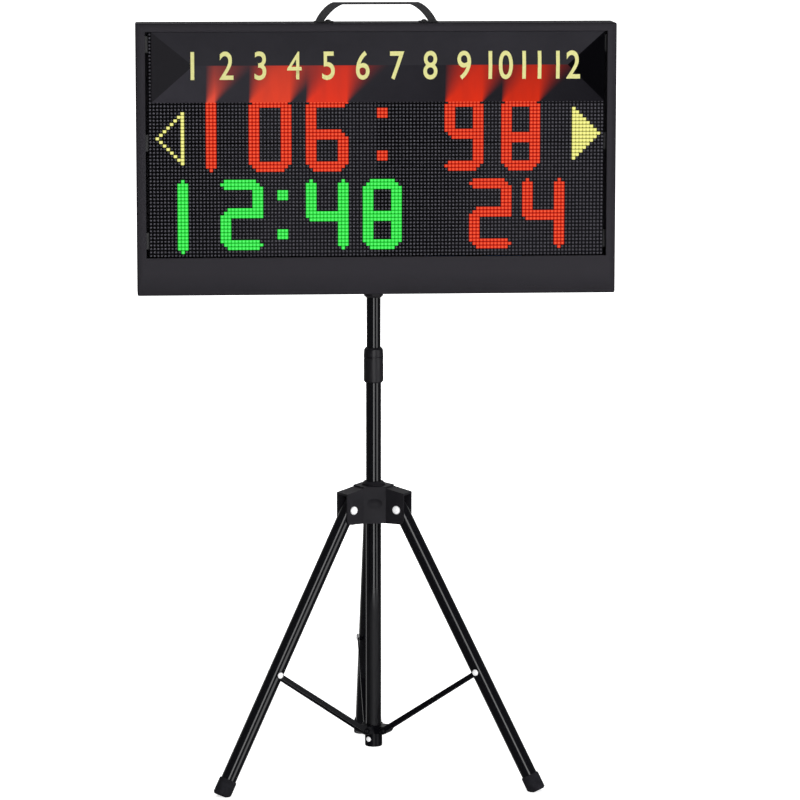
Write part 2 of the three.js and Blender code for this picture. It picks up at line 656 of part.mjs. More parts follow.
function switchBody() {
  const outer = [switchX - SWITCH_WIDTH / 2, switchX + SWITCH_WIDTH / 2];
  const tall = [switchZ - SWITCH_HEIGHT / 2, switchZ + SWITCH_HEIGHT / 2];
  const body = solid(block(outer[0], outer[1], backInside - SWITCH_DEPTH, CASE_BACK_Y + SWITCH_FLANGE,
    tall[0], tall[1]));
  const flange = solid(block(outer[0] - SWITCH_RIM, outer[1] + SWITCH_RIM, CASE_BACK_Y + GAP,
    CASE_BACK_Y + SWITCH_FLANGE, tall[0] - SWITCH_RIM, tall[1] + SWITCH_RIM));
  const well = solid(block(outer[0] + SWITCH_RIM, outer[1] - SWITCH_RIM, rockerFloorY,
    CASE_BACK_Y + SWITCH_FLANGE + OVERRUN, tall[0] + SWITCH_RIM, tall[1] - SWITCH_RIM));
  const reach = SWITCH_WIDTH / 2 - SHEET / 2;
  const bores = solid(crossRod(ROCKER_AXLE_R + GAP, -reach, reach, 'x',
    { x: switchX, y: rockerAxleY, z: switchZ }, 12));
  return cut(joined(body, flange), well, bores);
}

const rockerAxleY = CASE_BACK_Y - ROCKER_AXLE_DEPTH;
const rockerFloorY = CASE_BACK_Y - SWITCH_WELL;

// A vee-faced rocker on its axle, pressed to one side
function switchRocker() {
  const width = SWITCH_WIDTH - SWITCH_RIM * 2 - GAP * 2;
  const half = SWITCH_HEIGHT / 2 - SWITCH_RIM - SWITCH_FLANGE;
  const face = CASE_BACK_Y + SWITCH_FLANGE - rockerAxleY;
  const outline = new THREE.Shape();
  outline.moveTo(-half * Math.cos(SWITCH_TILT), face + half * Math.sin(SWITCH_TILT));
  outline.lineTo(0, face);
  outline.lineTo(half * Math.cos(SWITCH_TILT), face + half * Math.sin(SWITCH_TILT));
  outline.lineTo(half * rockerShares.heel, -SWITCH_FLANGE / 2);
  outline.lineTo(half * rockerShares.keel, -SWITCH_FLANGE);
  outline.lineTo(-half * rockerShares.keel, -SWITCH_FLANGE);
  outline.lineTo(-half * rockerShares.heel, -SWITCH_FLANGE / 2);
  const slab = new THREE.ExtrudeGeometry(outline, { depth: width, bevelEnabled: false });
  slab.translate(0, 0, -width / 2).rotateY(-Math.PI / 2);
  const reach = SWITCH_WIDTH / 2 - SHEET / 2 - GAP;
  const axle = crossRod(ROCKER_AXLE_R, -reach, reach, 'x', {}, 12);
  return geometryOf(joined(solid(slab), solid(axle)));
}

function chargeInlet() {
  const y0 = backInside - INLET_DEPTH;
  const y1 = CASE_BACK_Y + SWITCH_FLANGE;
  const flangeR = INLET_R + SWITCH_RIM;
  const bottomY = y0 + SHEET;
  const profile = [[0, y0], [INLET_R, y0], [INLET_R, CASE_BACK_Y + GAP], [flangeR, CASE_BACK_Y + GAP],
    [flangeR, y1 - GAP], [flangeR - GAP * 2, y1], [INLET_BORE_R, y1], [INLET_BORE_R, bottomY], [0, bottomY]];
  return turned(profile, 16).rotateX(-Math.PI / 2).translate(inletX, 0, switchZ);
}

// Carrying handle

const handleScrewX = HANDLE_HALF_SPAN - HANDLE_THICK - HANDLE_PAD_LENGTH * handleShares.screwInPad;
const handleScrewXs = [-handleScrewX, handleScrewX];

// One bow of the handle as three points after its start; side is -1 on the left, and mirrored on the right
function bow(side, x0, x1, z0, z1, shares) {
  return [...shares, [1, 1]].map(([run, rise]) => [side * (x0 + (x1 - x0) * run), z0 + (z1 - z0) * rise]);
}

function carryHandle() {
  const foot = caseTop + GAP;
  const top = caseTop + HANDLE_HEIGHT;
  const innerSpan = HANDLE_HALF_SPAN - HANDLE_THICK;
  const innerFlat = HANDLE_FLAT_HALF - HANDLE_THROAT;
  const outer = (side) => bow(side, HANDLE_HALF_SPAN, HANDLE_FLAT_HALF, foot, top, bowShares.outer);
  const inner = (side) => bow(side, innerSpan, innerFlat, foot, top - HANDLE_THIN, bowShares.inner);
  const shape = new THREE.Shape();
  shape.moveTo(-HANDLE_HALF_SPAN, foot);
  shape.bezierCurveTo(...outer(-1).flat());
  const [rightBend, rightStart, rightTop] = outer(1);
  shape.lineTo(...rightTop);
  shape.bezierCurveTo(...rightStart, ...rightBend, HANDLE_HALF_SPAN, foot);
  shape.lineTo(innerSpan, foot);
  shape.bezierCurveTo(...inner(1).flat());
  const [leftBend, leftStart, leftUnder] = inner(-1);
  shape.lineTo(...leftUnder);
  shape.bezierCurveTo(...leftStart, ...leftBend, -innerSpan, foot);
  const half = HANDLE_WIDTH / 2;
  const bar = solid(upright(shape, HANDLE_Y - half, HANDLE_Y + half, 8));
  const pads = [-1, 1].map((side) => {
    const end = side * (HANDLE_HALF_SPAN + HANDLE_THIN / 2);
    const start = end - side * HANDLE_PAD_LENGTH;
    const [x0, x1] = [Math.min(end, start), Math.max(end, start)];
    return solid(block(x0, x1, HANDLE_Y - half, HANDLE_Y + half, foot, foot + HANDLE_PAD_THICKNESS));
  });
  const holes = handleScrewXs.map((x) => solid(rod(HANDLE_SCREW_R + GAP, foot - OVERRUN,
    foot + HANDLE_PAD_THICKNESS + OVERRUN, 12).translate(x, HANDLE_Y, 0)));
  return cut(joined(bar, ...pads), ...holes);
}

function handleScrew(x) {
  const seat = caseTop + GAP * 2 + HANDLE_PAD_THICKNESS;
  const tip = seat - HANDLE_SCREW_LENGTH;
  const crown = seat + HANDLE_SCREW_HEAD_R / 2;
  const profile = [[0, tip], [HANDLE_SCREW_R, tip], [HANDLE_SCREW_R, seat], [HANDLE_SCREW_HEAD_R, seat],
    ...dome(HANDLE_SCREW_HEAD_R, seat, crown)];
  return turned(profile, 12).translate(x, HANDLE_Y, 0);
}

// Mast and column

const columnInner = COLUMN_R - COLUMN_WALL;
const socketTop = caseBottom + SOCKET_DEPTH;
const mastTop = socketTop - SHEET * 2 - GAP;

// The socket in the case floor that the mast plugs into, with a chamfered nose and a square flange
function mastSocket() {
  const nose = SOCKET_R - SOCKET_CHAMFER;
  const roof = socketTop - SHEET * 2;
  const profile = [[SOCKET_BORE_R, socketBottom], [nose, socketBottom],
    [SOCKET_R, socketBottom + SOCKET_CHAMFER], [SOCKET_R, socketTop], [0, socketTop], [0, roof],
    [SOCKET_BORE_R, roof], [SOCKET_BORE_R, socketBottom]];
  const barrel = solid(turned(profile));
  const floor = caseBottom + SHEET + GAP;
  const plate = solid(block(-SOCKET_FLANGE_HALF, SOCKET_FLANGE_HALF, -SOCKET_R, SOCKET_R, floor,
    floor + SOCKET_FLANGE));
  const bore = solid(rod(SOCKET_BORE_R, socketBottom - OVERRUN, roof));
  const screwHole = solid(crossRod(KNOB_SCREW_R + GAP, 0, SOCKET_R + OVERRUN, 'y', { z: socketScrewZ }, 12));
  return cut(joined(barrel, plate), bore, screwHole);
}

function mastPlug() {
  const spigot = MAST_R - MAST_WALL - GAP;
  const shoulder = mastBottom - GAP;
  const bottom = shoulder - PLUG_LIP;
  const profile = [[0, bottom], [MAST_R - MAST_WALL, bottom], [MAST_R, bottom + MAST_WALL],
    [MAST_R, shoulder], [spigot, shoulder], [spigot, shoulder + PLUG_DEPTH], [0, shoulder + PLUG_DEPTH]];
  return turned(profile);
}

// The fixed lower part of the twist collar, with a shoulder that stops it on the column's end
function collarBody() {
  const bore = COLUMN_R + GAP;
  const seat = columnTop + GAP;
  const top = ringBottom - GAP;
  const throat = MAST_R + GAP;
  const profile = [[bore, collarBottom], [COLLAR_R - COLLAR_CHAMFER / 2, collarBottom],
    [COLLAR_R, collarBottom + COLLAR_CHAMFER], [COLLAR_R, top], [throat, top], [throat, seat],
    [bore, seat], [bore, collarBottom]];
  return turned(profile);
}

// The slit sleeve that the ring presses on the mast
function colletSleeve() {
  const ring = solid(tube(COLLET_R, MAST_R + GAP, ringBottom, collarTop - TWIST_LIP - GAP));
  const slit = solid(block(-COLLET_SLIT / 2, COLLET_SLIT / 2, 0, COLLET_R + OVERRUN,
    ringBottom - OVERRUN, collarTop));
  return ring.subtract(slit);
}

// The ring that is turned to grip the mast: a low band under a sloping neck and a lip over the sleeve
function twistRing() {
  const throat = MAST_R + GAP;
  const room = COLLET_R + GAP;
  const neck = COLLAR_R - TWIST_SLOPE;
  const roof = collarTop - TWIST_LIP;
  const profile = [[room, ringBottom], [COLLAR_R - TWIST_SLOPE / 2, ringBottom],
    [COLLAR_R, ringBottom + TWIST_SLOPE], [COLLAR_R, ringBottom + TWIST_RING_HEIGHT * twistShares.band],
    [neck, collarTop - COLLAR_CHAMFER], [COLLAR_R - COLLAR_CHAMFER, collarTop], [throat, collarTop],
    [throat, roof], [room, roof], [room, ringBottom]];
  return turned(profile);
}

// Linkage of the tripod, worked out from its four pivots

const legTilt = Math.atan2(BRACE_PIVOT_R - HUB_PIVOT_R, HUB_PIVOT_Z - BRACE_PIVOT_Z);
const braceLean = Math.atan2(BRACE_PIVOT_R - FOOT_PIVOT_R, BRACE_PIVOT_Z - FOOT_PIVOT_Z);
const braceLength = Math.hypot(BRACE_PIVOT_R - FOOT_PIVOT_R, BRACE_PIVOT_Z - FOOT_PIVOT_Z);
// The inner corner of the tilted sole touches the floor, less the flat worn or moulded on it.
const soleCentreZ = FOOT_R * Math.sin(legTilt) - FOOT_FLAT;
const legLength = (HUB_PIVOT_Z - soleCentreZ) / Math.cos(legTilt);
const legRun = Math.hypot(BRACE_PIVOT_R - HUB_PIVOT_R, HUB_PIVOT_Z - BRACE_PIVOT_Z);
const armInner = LEG_R + GAP;
const braceInner = LEG_R + GAP * 1.5;
const armOuter = armInner + ARM_WALL;
const legStep = (2 * Math.PI) / LEG_COUNT;
const azimuths = Array.from({ length: LEG_COUNT }, (_, i) => REAR_LEG_AZIMUTH + i * legStep);
const legNames = ['rear', 'left', 'right'];

// One arm of the hub, along +X, before the leg's room is cut from it
function hubArm() {
  const corner = ARM_WALL * 3;
  const outline = new THREE.Shape();
  outline.moveTo(0, hubBottom);
  outline.lineTo(armReach - corner, hubBottom);
  outline.absarc(armReach - corner, hubBottom + corner, corner, -Math.PI / 2, 0);
  outline.lineTo(armReach, hubTop - ARM_DROP);
  outline.lineTo(HUB_RING_R, hubTop);
  outline.lineTo(0, hubTop);
  return solid(upright(outline, -armOuter, armOuter, 4));
}

// The room that makes the arm a channel, open below and at its end, and the bore of the leg's rivet
function armRoom() {
  const start = HUB_R + ARM_WALL;
  const end = armReach + OVERRUN;
  const slot = new THREE.Shape();
  slot.moveTo(start, hubBottom - OVERRUN);
  slot.lineTo(end, hubBottom - OVERRUN);
  slot.lineTo(end, hubTop - ARM_DROP - ARM_WEB);
  slot.lineTo(armReach, hubTop - ARM_DROP - ARM_WEB);
  slot.lineTo(start, hubTop - ARM_WEB);
  const bore = solid(crossRod(LEG_RIVET_SHANK_R + GAP, -armOuter - OVERRUN, armOuter + OVERRUN, 'y',
    { x: HUB_PIVOT_R, z: HUB_PIVOT_Z }, 12));
  return solid(upright(slot, -armInner, armInner)).add(bore);
}

// The six-sided body with a flat front between each two arms
function hubCore() {
  const up = new THREE.Vector3(0, 0, 1);
  const points = [];
  for (const azimuth of azimuths) {
    for (const y of [-HUB_FRONT_HALF, HUB_FRONT_HALF]) {
      for (const z of [hubBottom, hubTop]) {
        points.push(new THREE.Vector3(HUB_FRONT_REACH, y, z).applyAxisAngle(up, azimuth + Math.PI));
      }
    }
  }
  return new ConvexGeometry(points);
}

// The shallow oval hollow in a flat front
function frontDimple(azimuth) {
  const height = hubTop - hubBottom;
  const reach = HUB_FRONT_HALF * dimpleShares.width;
  // A ball whose cap is as wide and as deep as the hollow, then flattened to its height
  const radius = (reach * reach + DIMPLE_DEPTH * DIMPLE_DEPTH) / (DIMPLE_DEPTH * 2);
  const ball = new THREE.SphereGeometry(radius, 48, 32);
  ball.scale(1, 1, (height * dimpleShares.height) / reach);
  ball.translate(HUB_FRONT_REACH - DIMPLE_DEPTH + radius, 0, hubBottom + height * dimpleShares.lift);
  return solid(ball.rotateZ(azimuth));
}

function hub() {
  const bore = COLUMN_R + HUB_SLIDE_GAP;
  const ringTop = hubTop + HUB_RING_HEIGHT;
  const profile = [[0, hubBottom], [HUB_R, hubBottom], [HUB_R, hubTop - ARM_WEB], [HUB_RING_R, hubTop],
    [HUB_RING_R, ringTop - HUB_RING_CHAMFER], [HUB_RING_R - HUB_RING_CHAMFER, ringTop], [0, ringTop]];
  const sleeve = solid(turned(profile));
  const arms = azimuths.map((azimuth) => solid(geometryOf(hubArm()).rotateZ(azimuth)));
  const rooms = azimuths.map((azimuth) => solid(geometryOf(armRoom()).rotateZ(azimuth)));
  const boss = solid(crossRod(HUB_BOSS_R, 0, HUB_BOSS_REACH, 'x', { z: hubScrewZ }, 16)
    .rotateZ(HUB_SCREW_AZIMUTH));
  const thread = solid(crossRod(KNOB_SCREW_R + GAP, 0, HUB_BOSS_REACH + OVERRUN, 'x', { z: hubScrewZ }, 12)
    .rotateZ(HUB_SCREW_AZIMUTH));
  const dimples = [-REAR_LEG_AZIMUTH, HUB_SCREW_AZIMUTH + legStep].map(frontDimple);
  const passage = solid(rod(bore, hubBottom - OVERRUN, ringTop + OVERRUN));
  return cut(joined(sleeve, solid(hubCore()), boss, ...arms), ...rooms, ...dimples, passage, thread);
}

// A rivet along Y with a dome on both ends
function rivet(shankR, headR, headHeight, halfGrip) {
  const ends = [-1, 1].map((sign) => [[shankR, sign * halfGrip], [headR, sign * halfGrip],
    ...dome(headR, sign * halfGrip, sign * (halfGrip + headHeight))]);
  return turned([...ends[0].reverse(), ...ends[1]], 12).rotateX(-Math.PI / 2);
}

// One end of the rivet at a brace's top: it sits in one cheek of the brace and stops short of the leg
function rivetEnd(side) {
  const seat = braceInner + BRACE_WALL + GAP;
  const profile = [[0, braceInner], [BRACE_RIVET_SHANK_R, braceInner], [BRACE_RIVET_SHANK_R, seat],
    [BRACE_RIVET_HEAD_R, seat], ...dome(BRACE_RIVET_HEAD_R, seat, seat + BRACE_RIVET_HEAD)];
  return turned(profile, 12).rotateX(side * -Math.PI / 2);
}

// A leg hangs from its pivot along -Z until its group tilts it
function legTube() {
  const body = solid(tube(LEG_R, LEG_R - LEG_WALL, -legLength + FOOT_SOLE + GAP, LEG_TOP, 24));
  const bore = solid(crossRod(LEG_RIVET_SHANK_R + GAP, -LEG_R - OVERRUN, LEG_R + OVERRUN, 'y', {}, 12));
  const braceBore = solid(crossRod(BRACE_RIVET_SHANK_R + GAP, -LEG_R - OVERRUN, LEG_R + OVERRUN, 'y',
    { z: -legRun }, 12));
  return cut(body, bore, braceBore);
}

function footCap() {
  const bore = LEG_R + GAP;
  const sole = -legLength;
  const floor = sole + FOOT_SOLE;
  const mouth = sole + FOOT_LENGTH;
  const profile = [[0, sole], [FOOT_R - FOOT_EDGE, sole], [FOOT_R, sole + FOOT_EDGE],
    [FOOT_R, mouth - FOOT_EDGE], [FOOT_R - FOOT_EDGE / 4, mouth], [bore, mouth], [bore, floor], [0, floor]];
  const cap = solid(turned(profile, 24));
  // The floor, seen from the leg's own frame, shaves the cap's lowest corner flat.
  const reach = FOOT_R * 2;
  const under = legLength * Math.sin(legTilt);
  const slab = block(under - reach, under + reach, -reach, reach, -reach, 0);
  slab.translate(0, 0, -HUB_PIVOT_Z).rotateY(legTilt);
  return cap.subtract(solid(slab));
}

// A folded brace along +Z from its foot pivot: a channel, slotted open towards both ends
function brace() {
  const inner = braceInner;
  const outer = braceInner + BRACE_WALL;
  const half = BRACE_WIDTH / 2;
  const outline = new THREE.Shape();
  outline.moveTo(-half, BRACE_EYE_R);
  outline.absarc(0, 0, BRACE_EYE_R, Math.PI * 0.8, Math.PI * 2.2);
  outline.lineTo(half, BRACE_EYE_R);
  outline.lineTo(half, braceLength - BRACE_EYE_R);
  outline.absarc(0, braceLength, BRACE_EYE_R, -Math.PI * 0.2, Math.PI * 1.2);
  outline.lineTo(-half, braceLength - BRACE_EYE_R);
  const bar = solid(upright(outline, -outer, outer, 5));
  const reach = BRACE_EYE_R + OVERRUN;
  const channel = solid(block(-half + BRACE_WALL, reach, -inner, inner, -reach, braceLength + reach));
  const ends = [[-reach, BRACE_SLOT_FOOT], [braceLength - BRACE_SLOT_TOP, braceLength + reach]];
  const slots = ends.map(([z0, z1]) => solid(block(-reach, reach, -inner, inner, z0, z1)));
  const bores = [0, braceLength].map((z) => solid(crossRod(BRACE_RIVET_SHANK_R + GAP, -outer - OVERRUN,
    outer + OVERRUN, 'y', { z }, 12)));
  return cut(bar, channel, ...slots, ...bores);
}

// The bracket that closes the column's foot and carries a lug for every brace
function bottomBracket() {
  const lugHalf = LEG_R;
  const seat = COLUMN_BOTTOM_Z - GAP;
  const bottom = seat - BRACKET_FLOOR;
  const top = bottom + BRACKET_HEIGHT;
  const bore = COLUMN_R + GAP;
  const edge = BRACKET_R - BRACKET_FLOOR / 2;
  const sleeve = solid(turned([[0, bottom], [edge, bottom], [BRACKET_R, bottom + BRACKET_FLOOR / 2],
    [BRACKET_R, top], [0, top]]));
  const lugs = azimuths.map((azimuth) => {
    const outline = new THREE.Shape();
    outline.moveTo(0, FOOT_PIVOT_Z - BRACKET_LUG_R);
    outline.lineTo(FOOT_PIVOT_R, FOOT_PIVOT_Z - BRACKET_LUG_R);
    outline.absarc(FOOT_PIVOT_R, FOOT_PIVOT_Z, BRACKET_LUG_R, -Math.PI / 2, Math.PI / 2);
    outline.lineTo(0, FOOT_PIVOT_Z + BRACKET_LUG_R);
    return solid(upright(outline, -lugHalf, lugHalf, 6).rotateZ(azimuth));
  });
  const bores = azimuths.map((azimuth) => solid(crossRod(BRACE_RIVET_SHANK_R + GAP, -lugHalf - OVERRUN,
    lugHalf + OVERRUN, 'y', { x: FOOT_PIVOT_R, z: FOOT_PIVOT_Z }, 12).rotateZ(azimuth)));
  const cavity = solid(rod(bore, seat, top + OVERRUN));
  const drain = solid(rod(KNOB_SCREW_R, bottom - OVERRUN, seat + OVERRUN, 12));
  return cut(joined(sleeve, ...lugs), cavity, drain, columnRivetHole(), ...bores);
}

function columnTube() {
  return solid(tube(COLUMN_R, columnInner, COLUMN_BOTTOM_Z, columnTop)).subtract(columnRivetHole());
}

function columnRivetHole() {
  return solid(crossRod(COLUMN_RIVET_R + GAP, 0, BRACKET_R + OVERRUN, 'x', { z: columnRivetZ }, 12)
    .rotateZ(COLUMN_RIVET_AZIMUTH));
}

// The blind rivet that holds the bracket on the column
function columnRivet() {
  const seat = BRACKET_R + GAP;
  const profile = [[0, seat - COLUMN_RIVET_GRIP], [COLUMN_RIVET_R, seat - COLUMN_RIVET_GRIP],
    [COLUMN_RIVET_R, seat], [COLUMN_RIVET_HEAD_R, seat],
    ...dome(COLUMN_RIVET_HEAD_R, seat, seat + COLUMN_RIVET_HEAD)];
  return turned(profile, 12).rotateY(Math.PI / 2).translate(0, 0, columnRivetZ).rotateZ(COLUMN_RIVET_AZIMUTH);
}

// Thumb screws: a lobed head, a neck and a threaded shank, along +Z with the tip at 0

function thumbScrew(shankLength) {
  const outline = new THREE.Shape();
  const steps = KNOB_LOBES * 6;
  for (let i = 0; i < steps; i++) {
    const turn = (i / steps) * 2 * Math.PI;
    const r = KNOB_R - KNOB_LOBE + KNOB_LOBE * Math.cos(turn * KNOB_LOBES);
    outline[i === 0 ? 'moveTo' : 'lineTo'](r * Math.cos(turn), r * Math.sin(turn));
  }
  const base = shankLength + KNOB_NECK;
  const head = new THREE.ExtrudeGeometry(outline, { depth: KNOB_THICKNESS, bevelEnabled: false });
  head.translate(0, 0, base);
  const neck = turned([[0, shankLength], [KNOB_NECK_R, shankLength], [KNOB_NECK_R + KNOB_LOBE, base + GAP],
    [0, base + GAP]], 18);
  const shank = rod(KNOB_SCREW_R, 0, shankLength + GAP, 12);
  return joined(solid(head), solid(neck), solid(shank));
}

// Scene graph

const board = new THREE.Group();
board.add(named('front_frame', frontFrame(), casePaint));
board.add(named('rear_case', rearCase(), casePaint));
const moduleCorners = { top_left: [-moduleWidth, faceCentre], top_right: [0, faceCentre],
  bottom_left: [-moduleWidth, moduleBottom], bottom_right: [0, moduleBottom] };
for (const [corner, [x, z]] of Object.entries(moduleCorners)) {
  board.add(named(`led_module_${corner}`, ledModule(x, z), maskPlastic));
}
board.add(named('header_cover', headerCover(), casePaint));
for (const [level, z] of Object.entries(railZs)) {
  board.add(named(`module_rail_${level}`, moduleRail(z), blackSteel));
}
board.add(named('power_supply', powerSupply(), zincSteel));
board.add(named('battery_pack', batteryPack(), wrapBlue));
board.add(named('battery_strap', batteryStrap(), maskPlastic));
board.add(named('control_card', controlCard(), boardGreen));
board.add(named('buzzer', buzzer(), maskPlastic));
board.add(named('switch_body', switchBody(), maskPlastic));
const rocker = named('switch_rocker', switchRocker(), maskPlastic);
rocker.position.set(switchX, rockerAxleY, switchZ);
rocker.rotation.x = -SWITCH_TILT;
board.add(rocker);
board.add(named('charge_inlet', chargeInlet(), maskPlastic));
board.add(named('carry_handle', carryHandle(), maskPlastic));
handleScrewXs.forEach((x, i) => {
  board.add(named(`handle_screw_${['left', 'right'][i]}`, handleScrew(x), zincSteel));
});
postPlaces.forEach((place, i) => {
  board.add(named(`case_screw_${i + 1}`, caseScrew(place), zincSteel));
});
const socket = named('mast_socket', mastSocket(), hubPlastic);
socket.position.x = SOCKET_X;
board.add(socket);
const socketScrew = named('socket_screw', thumbScrew(CASE_BACK_Y + OVERRUN * 2 - MAST_R - GAP), maskPlastic);
socketScrew.position.set(SOCKET_X, MAST_R + GAP, socketScrewZ);
socketScrew.rotation.x = -Math.PI / 2;
board.add(socketScrew);
board.position.x = -SOCKET_X;

const column = new THREE.Group();
column.add(named('mast_tube', tube(MAST_R, MAST_R - MAST_WALL, mastBottom, mastTop), tubePaint));
column.add(named('mast_plug', mastPlug(), maskPlastic));
column.add(named('column_tube', columnTube(), tubePaint));
column.add(named('collar_body', collarBody(), hubPlastic));
column.add(named('collet_sleeve', colletSleeve(), maskPlastic));
column.add(named('twist_ring', twistRing(), hubPlastic));
column.add(named('bottom_bracket', bottomBracket(), tubePaint));
column.add(named('column_rivet', columnRivet(), brightSteel));

const tripod = new THREE.Group();
tripod.add(named('hub', hub(), hubPlastic));
const screwTurn = new THREE.Group();
screwTurn.rotation.z = HUB_SCREW_AZIMUTH;
const hubScrew = named('hub_screw', thumbScrew(HUB_BOSS_REACH - COLUMN_R), maskPlastic);
hubScrew.position.set(COLUMN_R + GAP, 0, hubScrewZ);
hubScrew.rotation.y = Math.PI / 2;
screwTurn.add(hubScrew);
tripod.add(screwTurn);
azimuths.forEach((azimuth, i) => {
  const side = new THREE.Group();
  side.rotation.z = azimuth;
  const leg = new THREE.Group();
  leg.position.set(HUB_PIVOT_R, 0, HUB_PIVOT_Z);
  leg.rotation.y = -legTilt;
  leg.add(named(`leg_${legNames[i]}`, legTube(), tubePaint));
  leg.add(named(`foot_${legNames[i]}`, footCap(), rubber));
  const legRivet = named(`leg_rivet_${legNames[i]}`,
    rivet(LEG_RIVET_SHANK_R, LEG_RIVET_HEAD_R, LEG_RIVET_HEAD, armOuter + GAP), brightSteel);
  legRivet.position.copy(leg.position);
  const strut = named(`brace_${legNames[i]}`, brace(), blackSteel);
  strut.position.set(FOOT_PIVOT_R, 0, FOOT_PIVOT_Z);
  strut.rotation.y = braceLean;
  const pin = named(`bracket_rivet_${legNames[i]}`, rivet(BRACE_RIVET_SHANK_R, BRACE_RIVET_HEAD_R,
    BRACE_RIVET_HEAD, braceInner + BRACE_WALL + GAP), blackSteel);
  pin.position.copy(strut.position);
  side.add(pin);
  for (const [end, sign] of [['near', 1], ['far', -1]]) {
    const stud = named(`brace_rivet_${legNames[i]}_${end}`, rivetEnd(sign), brightSteel);
    stud.position.set(BRACE_PIVOT_R, 0, BRACE_PIVOT_Z);
    side.add(stud);
  }
  side.add(leg, legRivet, strut);
  tripod.add(side);
});

const stand = new THREE.Group();
stand.add(board, column, tripod);

// The origin is the middle of the footprint, on the floor.
stand.updateMatrixWorld(true);
const extent = new THREE.Box3().setFromObject(stand, true);
const middle = extent.getCenter(new THREE.Vector3());
stand.position.set(-middle.x, -middle.y, -extent.min.z);

export default stand;
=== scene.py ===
# %% [markdown]
# # An electronic scoreboard on a folding tripod
# The board is a flat panel of lamps in a shallow case. It stands on a mast that slides out of a column
# on three legs. Its construction is already modelled, at its real size, in metres. This lesson gives it
# its looks: paint, moulded plastic, rubber, bare metal and the lamps, of which some are lit.
# The first cell loads the construction as a frame that nothing here moves.

# %% Load the frame
import bpy
import bmesh
import math
from mathutils import Matrix, Vector


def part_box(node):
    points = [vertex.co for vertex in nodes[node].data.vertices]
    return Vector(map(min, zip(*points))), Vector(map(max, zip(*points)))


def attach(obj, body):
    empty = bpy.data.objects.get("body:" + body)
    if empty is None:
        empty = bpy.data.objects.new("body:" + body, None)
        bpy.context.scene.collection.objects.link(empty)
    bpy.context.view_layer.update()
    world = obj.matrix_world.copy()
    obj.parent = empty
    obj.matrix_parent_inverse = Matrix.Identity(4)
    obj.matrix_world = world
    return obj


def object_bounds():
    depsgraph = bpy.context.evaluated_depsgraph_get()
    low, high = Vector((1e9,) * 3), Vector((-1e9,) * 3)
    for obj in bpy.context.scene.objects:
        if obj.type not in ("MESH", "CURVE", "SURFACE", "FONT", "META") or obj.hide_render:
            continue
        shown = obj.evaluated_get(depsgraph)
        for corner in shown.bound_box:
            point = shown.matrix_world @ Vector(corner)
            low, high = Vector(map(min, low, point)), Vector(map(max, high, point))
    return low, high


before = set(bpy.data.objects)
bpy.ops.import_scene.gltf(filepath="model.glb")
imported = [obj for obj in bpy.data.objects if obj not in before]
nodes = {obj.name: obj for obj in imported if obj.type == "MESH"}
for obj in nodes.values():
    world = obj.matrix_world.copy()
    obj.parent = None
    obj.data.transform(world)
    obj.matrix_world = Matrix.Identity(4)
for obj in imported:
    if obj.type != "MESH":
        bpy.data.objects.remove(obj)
frame_box = [list(corner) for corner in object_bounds()]
MM = 0.001
print(len(nodes), "pieces in the frame; box", [[round(v, 4) for v in c] for c in frame_box])

# %% [markdown]
# ## The lit face as a ruler
# Four lamp modules make one face, and its middle is the best place to measure from: the camera, the lamps
# and the marks on the header are all placed from it. The modules' boxes in the frame give it.

# %% Measure the lit face
LAMP_PITCH = 5 * MM
LOUVRE_REACH = 1.2 * MM
face_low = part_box("led_module_bottom_left")[0]
face_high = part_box("led_module_top_right")[1]
FACE_COLUMNS = round((face_high.x - face_low.x) / LAMP_PITCH)
FACE_ROWS = round((face_high.z - face_low.z) / LAMP_PITCH)
face_y = face_low.y + LOUVRE_REACH
face_centre = Vector(((face_low.x + face_high.x) / 2, face_y, (face_low.z + face_high.z) / 2))
print("face", FACE_COLUMNS, "by", FACE_ROWS, "lamps, centre", [round(v, 4) for v in face_centre])

# %% [markdown]
# ## Camera
# The picture was taken from about five and a half metres with a long lens, a little to the left and above
# the board. A camera could be turned with a Track To constraint, but its three axes as the columns of a
# matrix say exactly where it looks, and nothing has to be solved.

# %% Camera
# The eye in metres from the middle of the face, and the turns in radians
EYE_FROM_FACE = Vector((-0.378, -5.6504, 0.4633))
YAW = -0.07256
PITCH = 0.14518
ROLL = 0.00081
FOCAL_PIXELS = 4041.8
FRAME_PIXELS = 800
SENSOR_MM = 36
SIGHT_METRES = 300


def camera_axes(yaw, pitch, roll):
    level = Vector((-math.sin(yaw), math.cos(yaw), 0))
    side = Vector((math.cos(yaw), math.sin(yaw), 0))
    forward = level * math.cos(pitch) - Vector((0, 0, math.sin(pitch)))
    up = side.cross(forward)
    return (side * math.cos(roll) + up * math.sin(roll), up * math.cos(roll) - side * math.sin(roll),
            forward)


right, up, forward = camera_axes(YAW, PITCH, ROLL)
camera_data = bpy.data.cameras.new("camera")
camera_data.sensor_width = SENSOR_MM
camera_data.lens = FOCAL_PIXELS / FRAME_PIXELS * SENSOR_MM
camera_data.clip_end = SIGHT_METRES
camera = bpy.data.objects.new("camera", camera_data)
turned = Matrix((right, up, -forward)).transposed().to_4x4()
camera.matrix_world = Matrix.Translation(face_centre + EYE_FROM_FACE) @ turned
bpy.context.scene.collection.objects.link(camera)
bpy.context.scene.camera = camera
print("lens", round(camera_data.lens, 1), "mm")

# %% [markdown]
# ## Node helpers
# Every finish here is a Principled shader with two or three small patterns behind it: a slow noise that
# mottles the colour, a fine noise that breaks up the gloss, and a bump. What is the same all over is set
# on the shader itself. The owner in these helpers is a material or the air, because both have nodes.

# %% Node helpers
# The sockets that a mix node uses for colours
MIX_FACTOR, MIX_FIRST, MIX_SECOND, MIX_RESULT = 0, 6, 7, 2


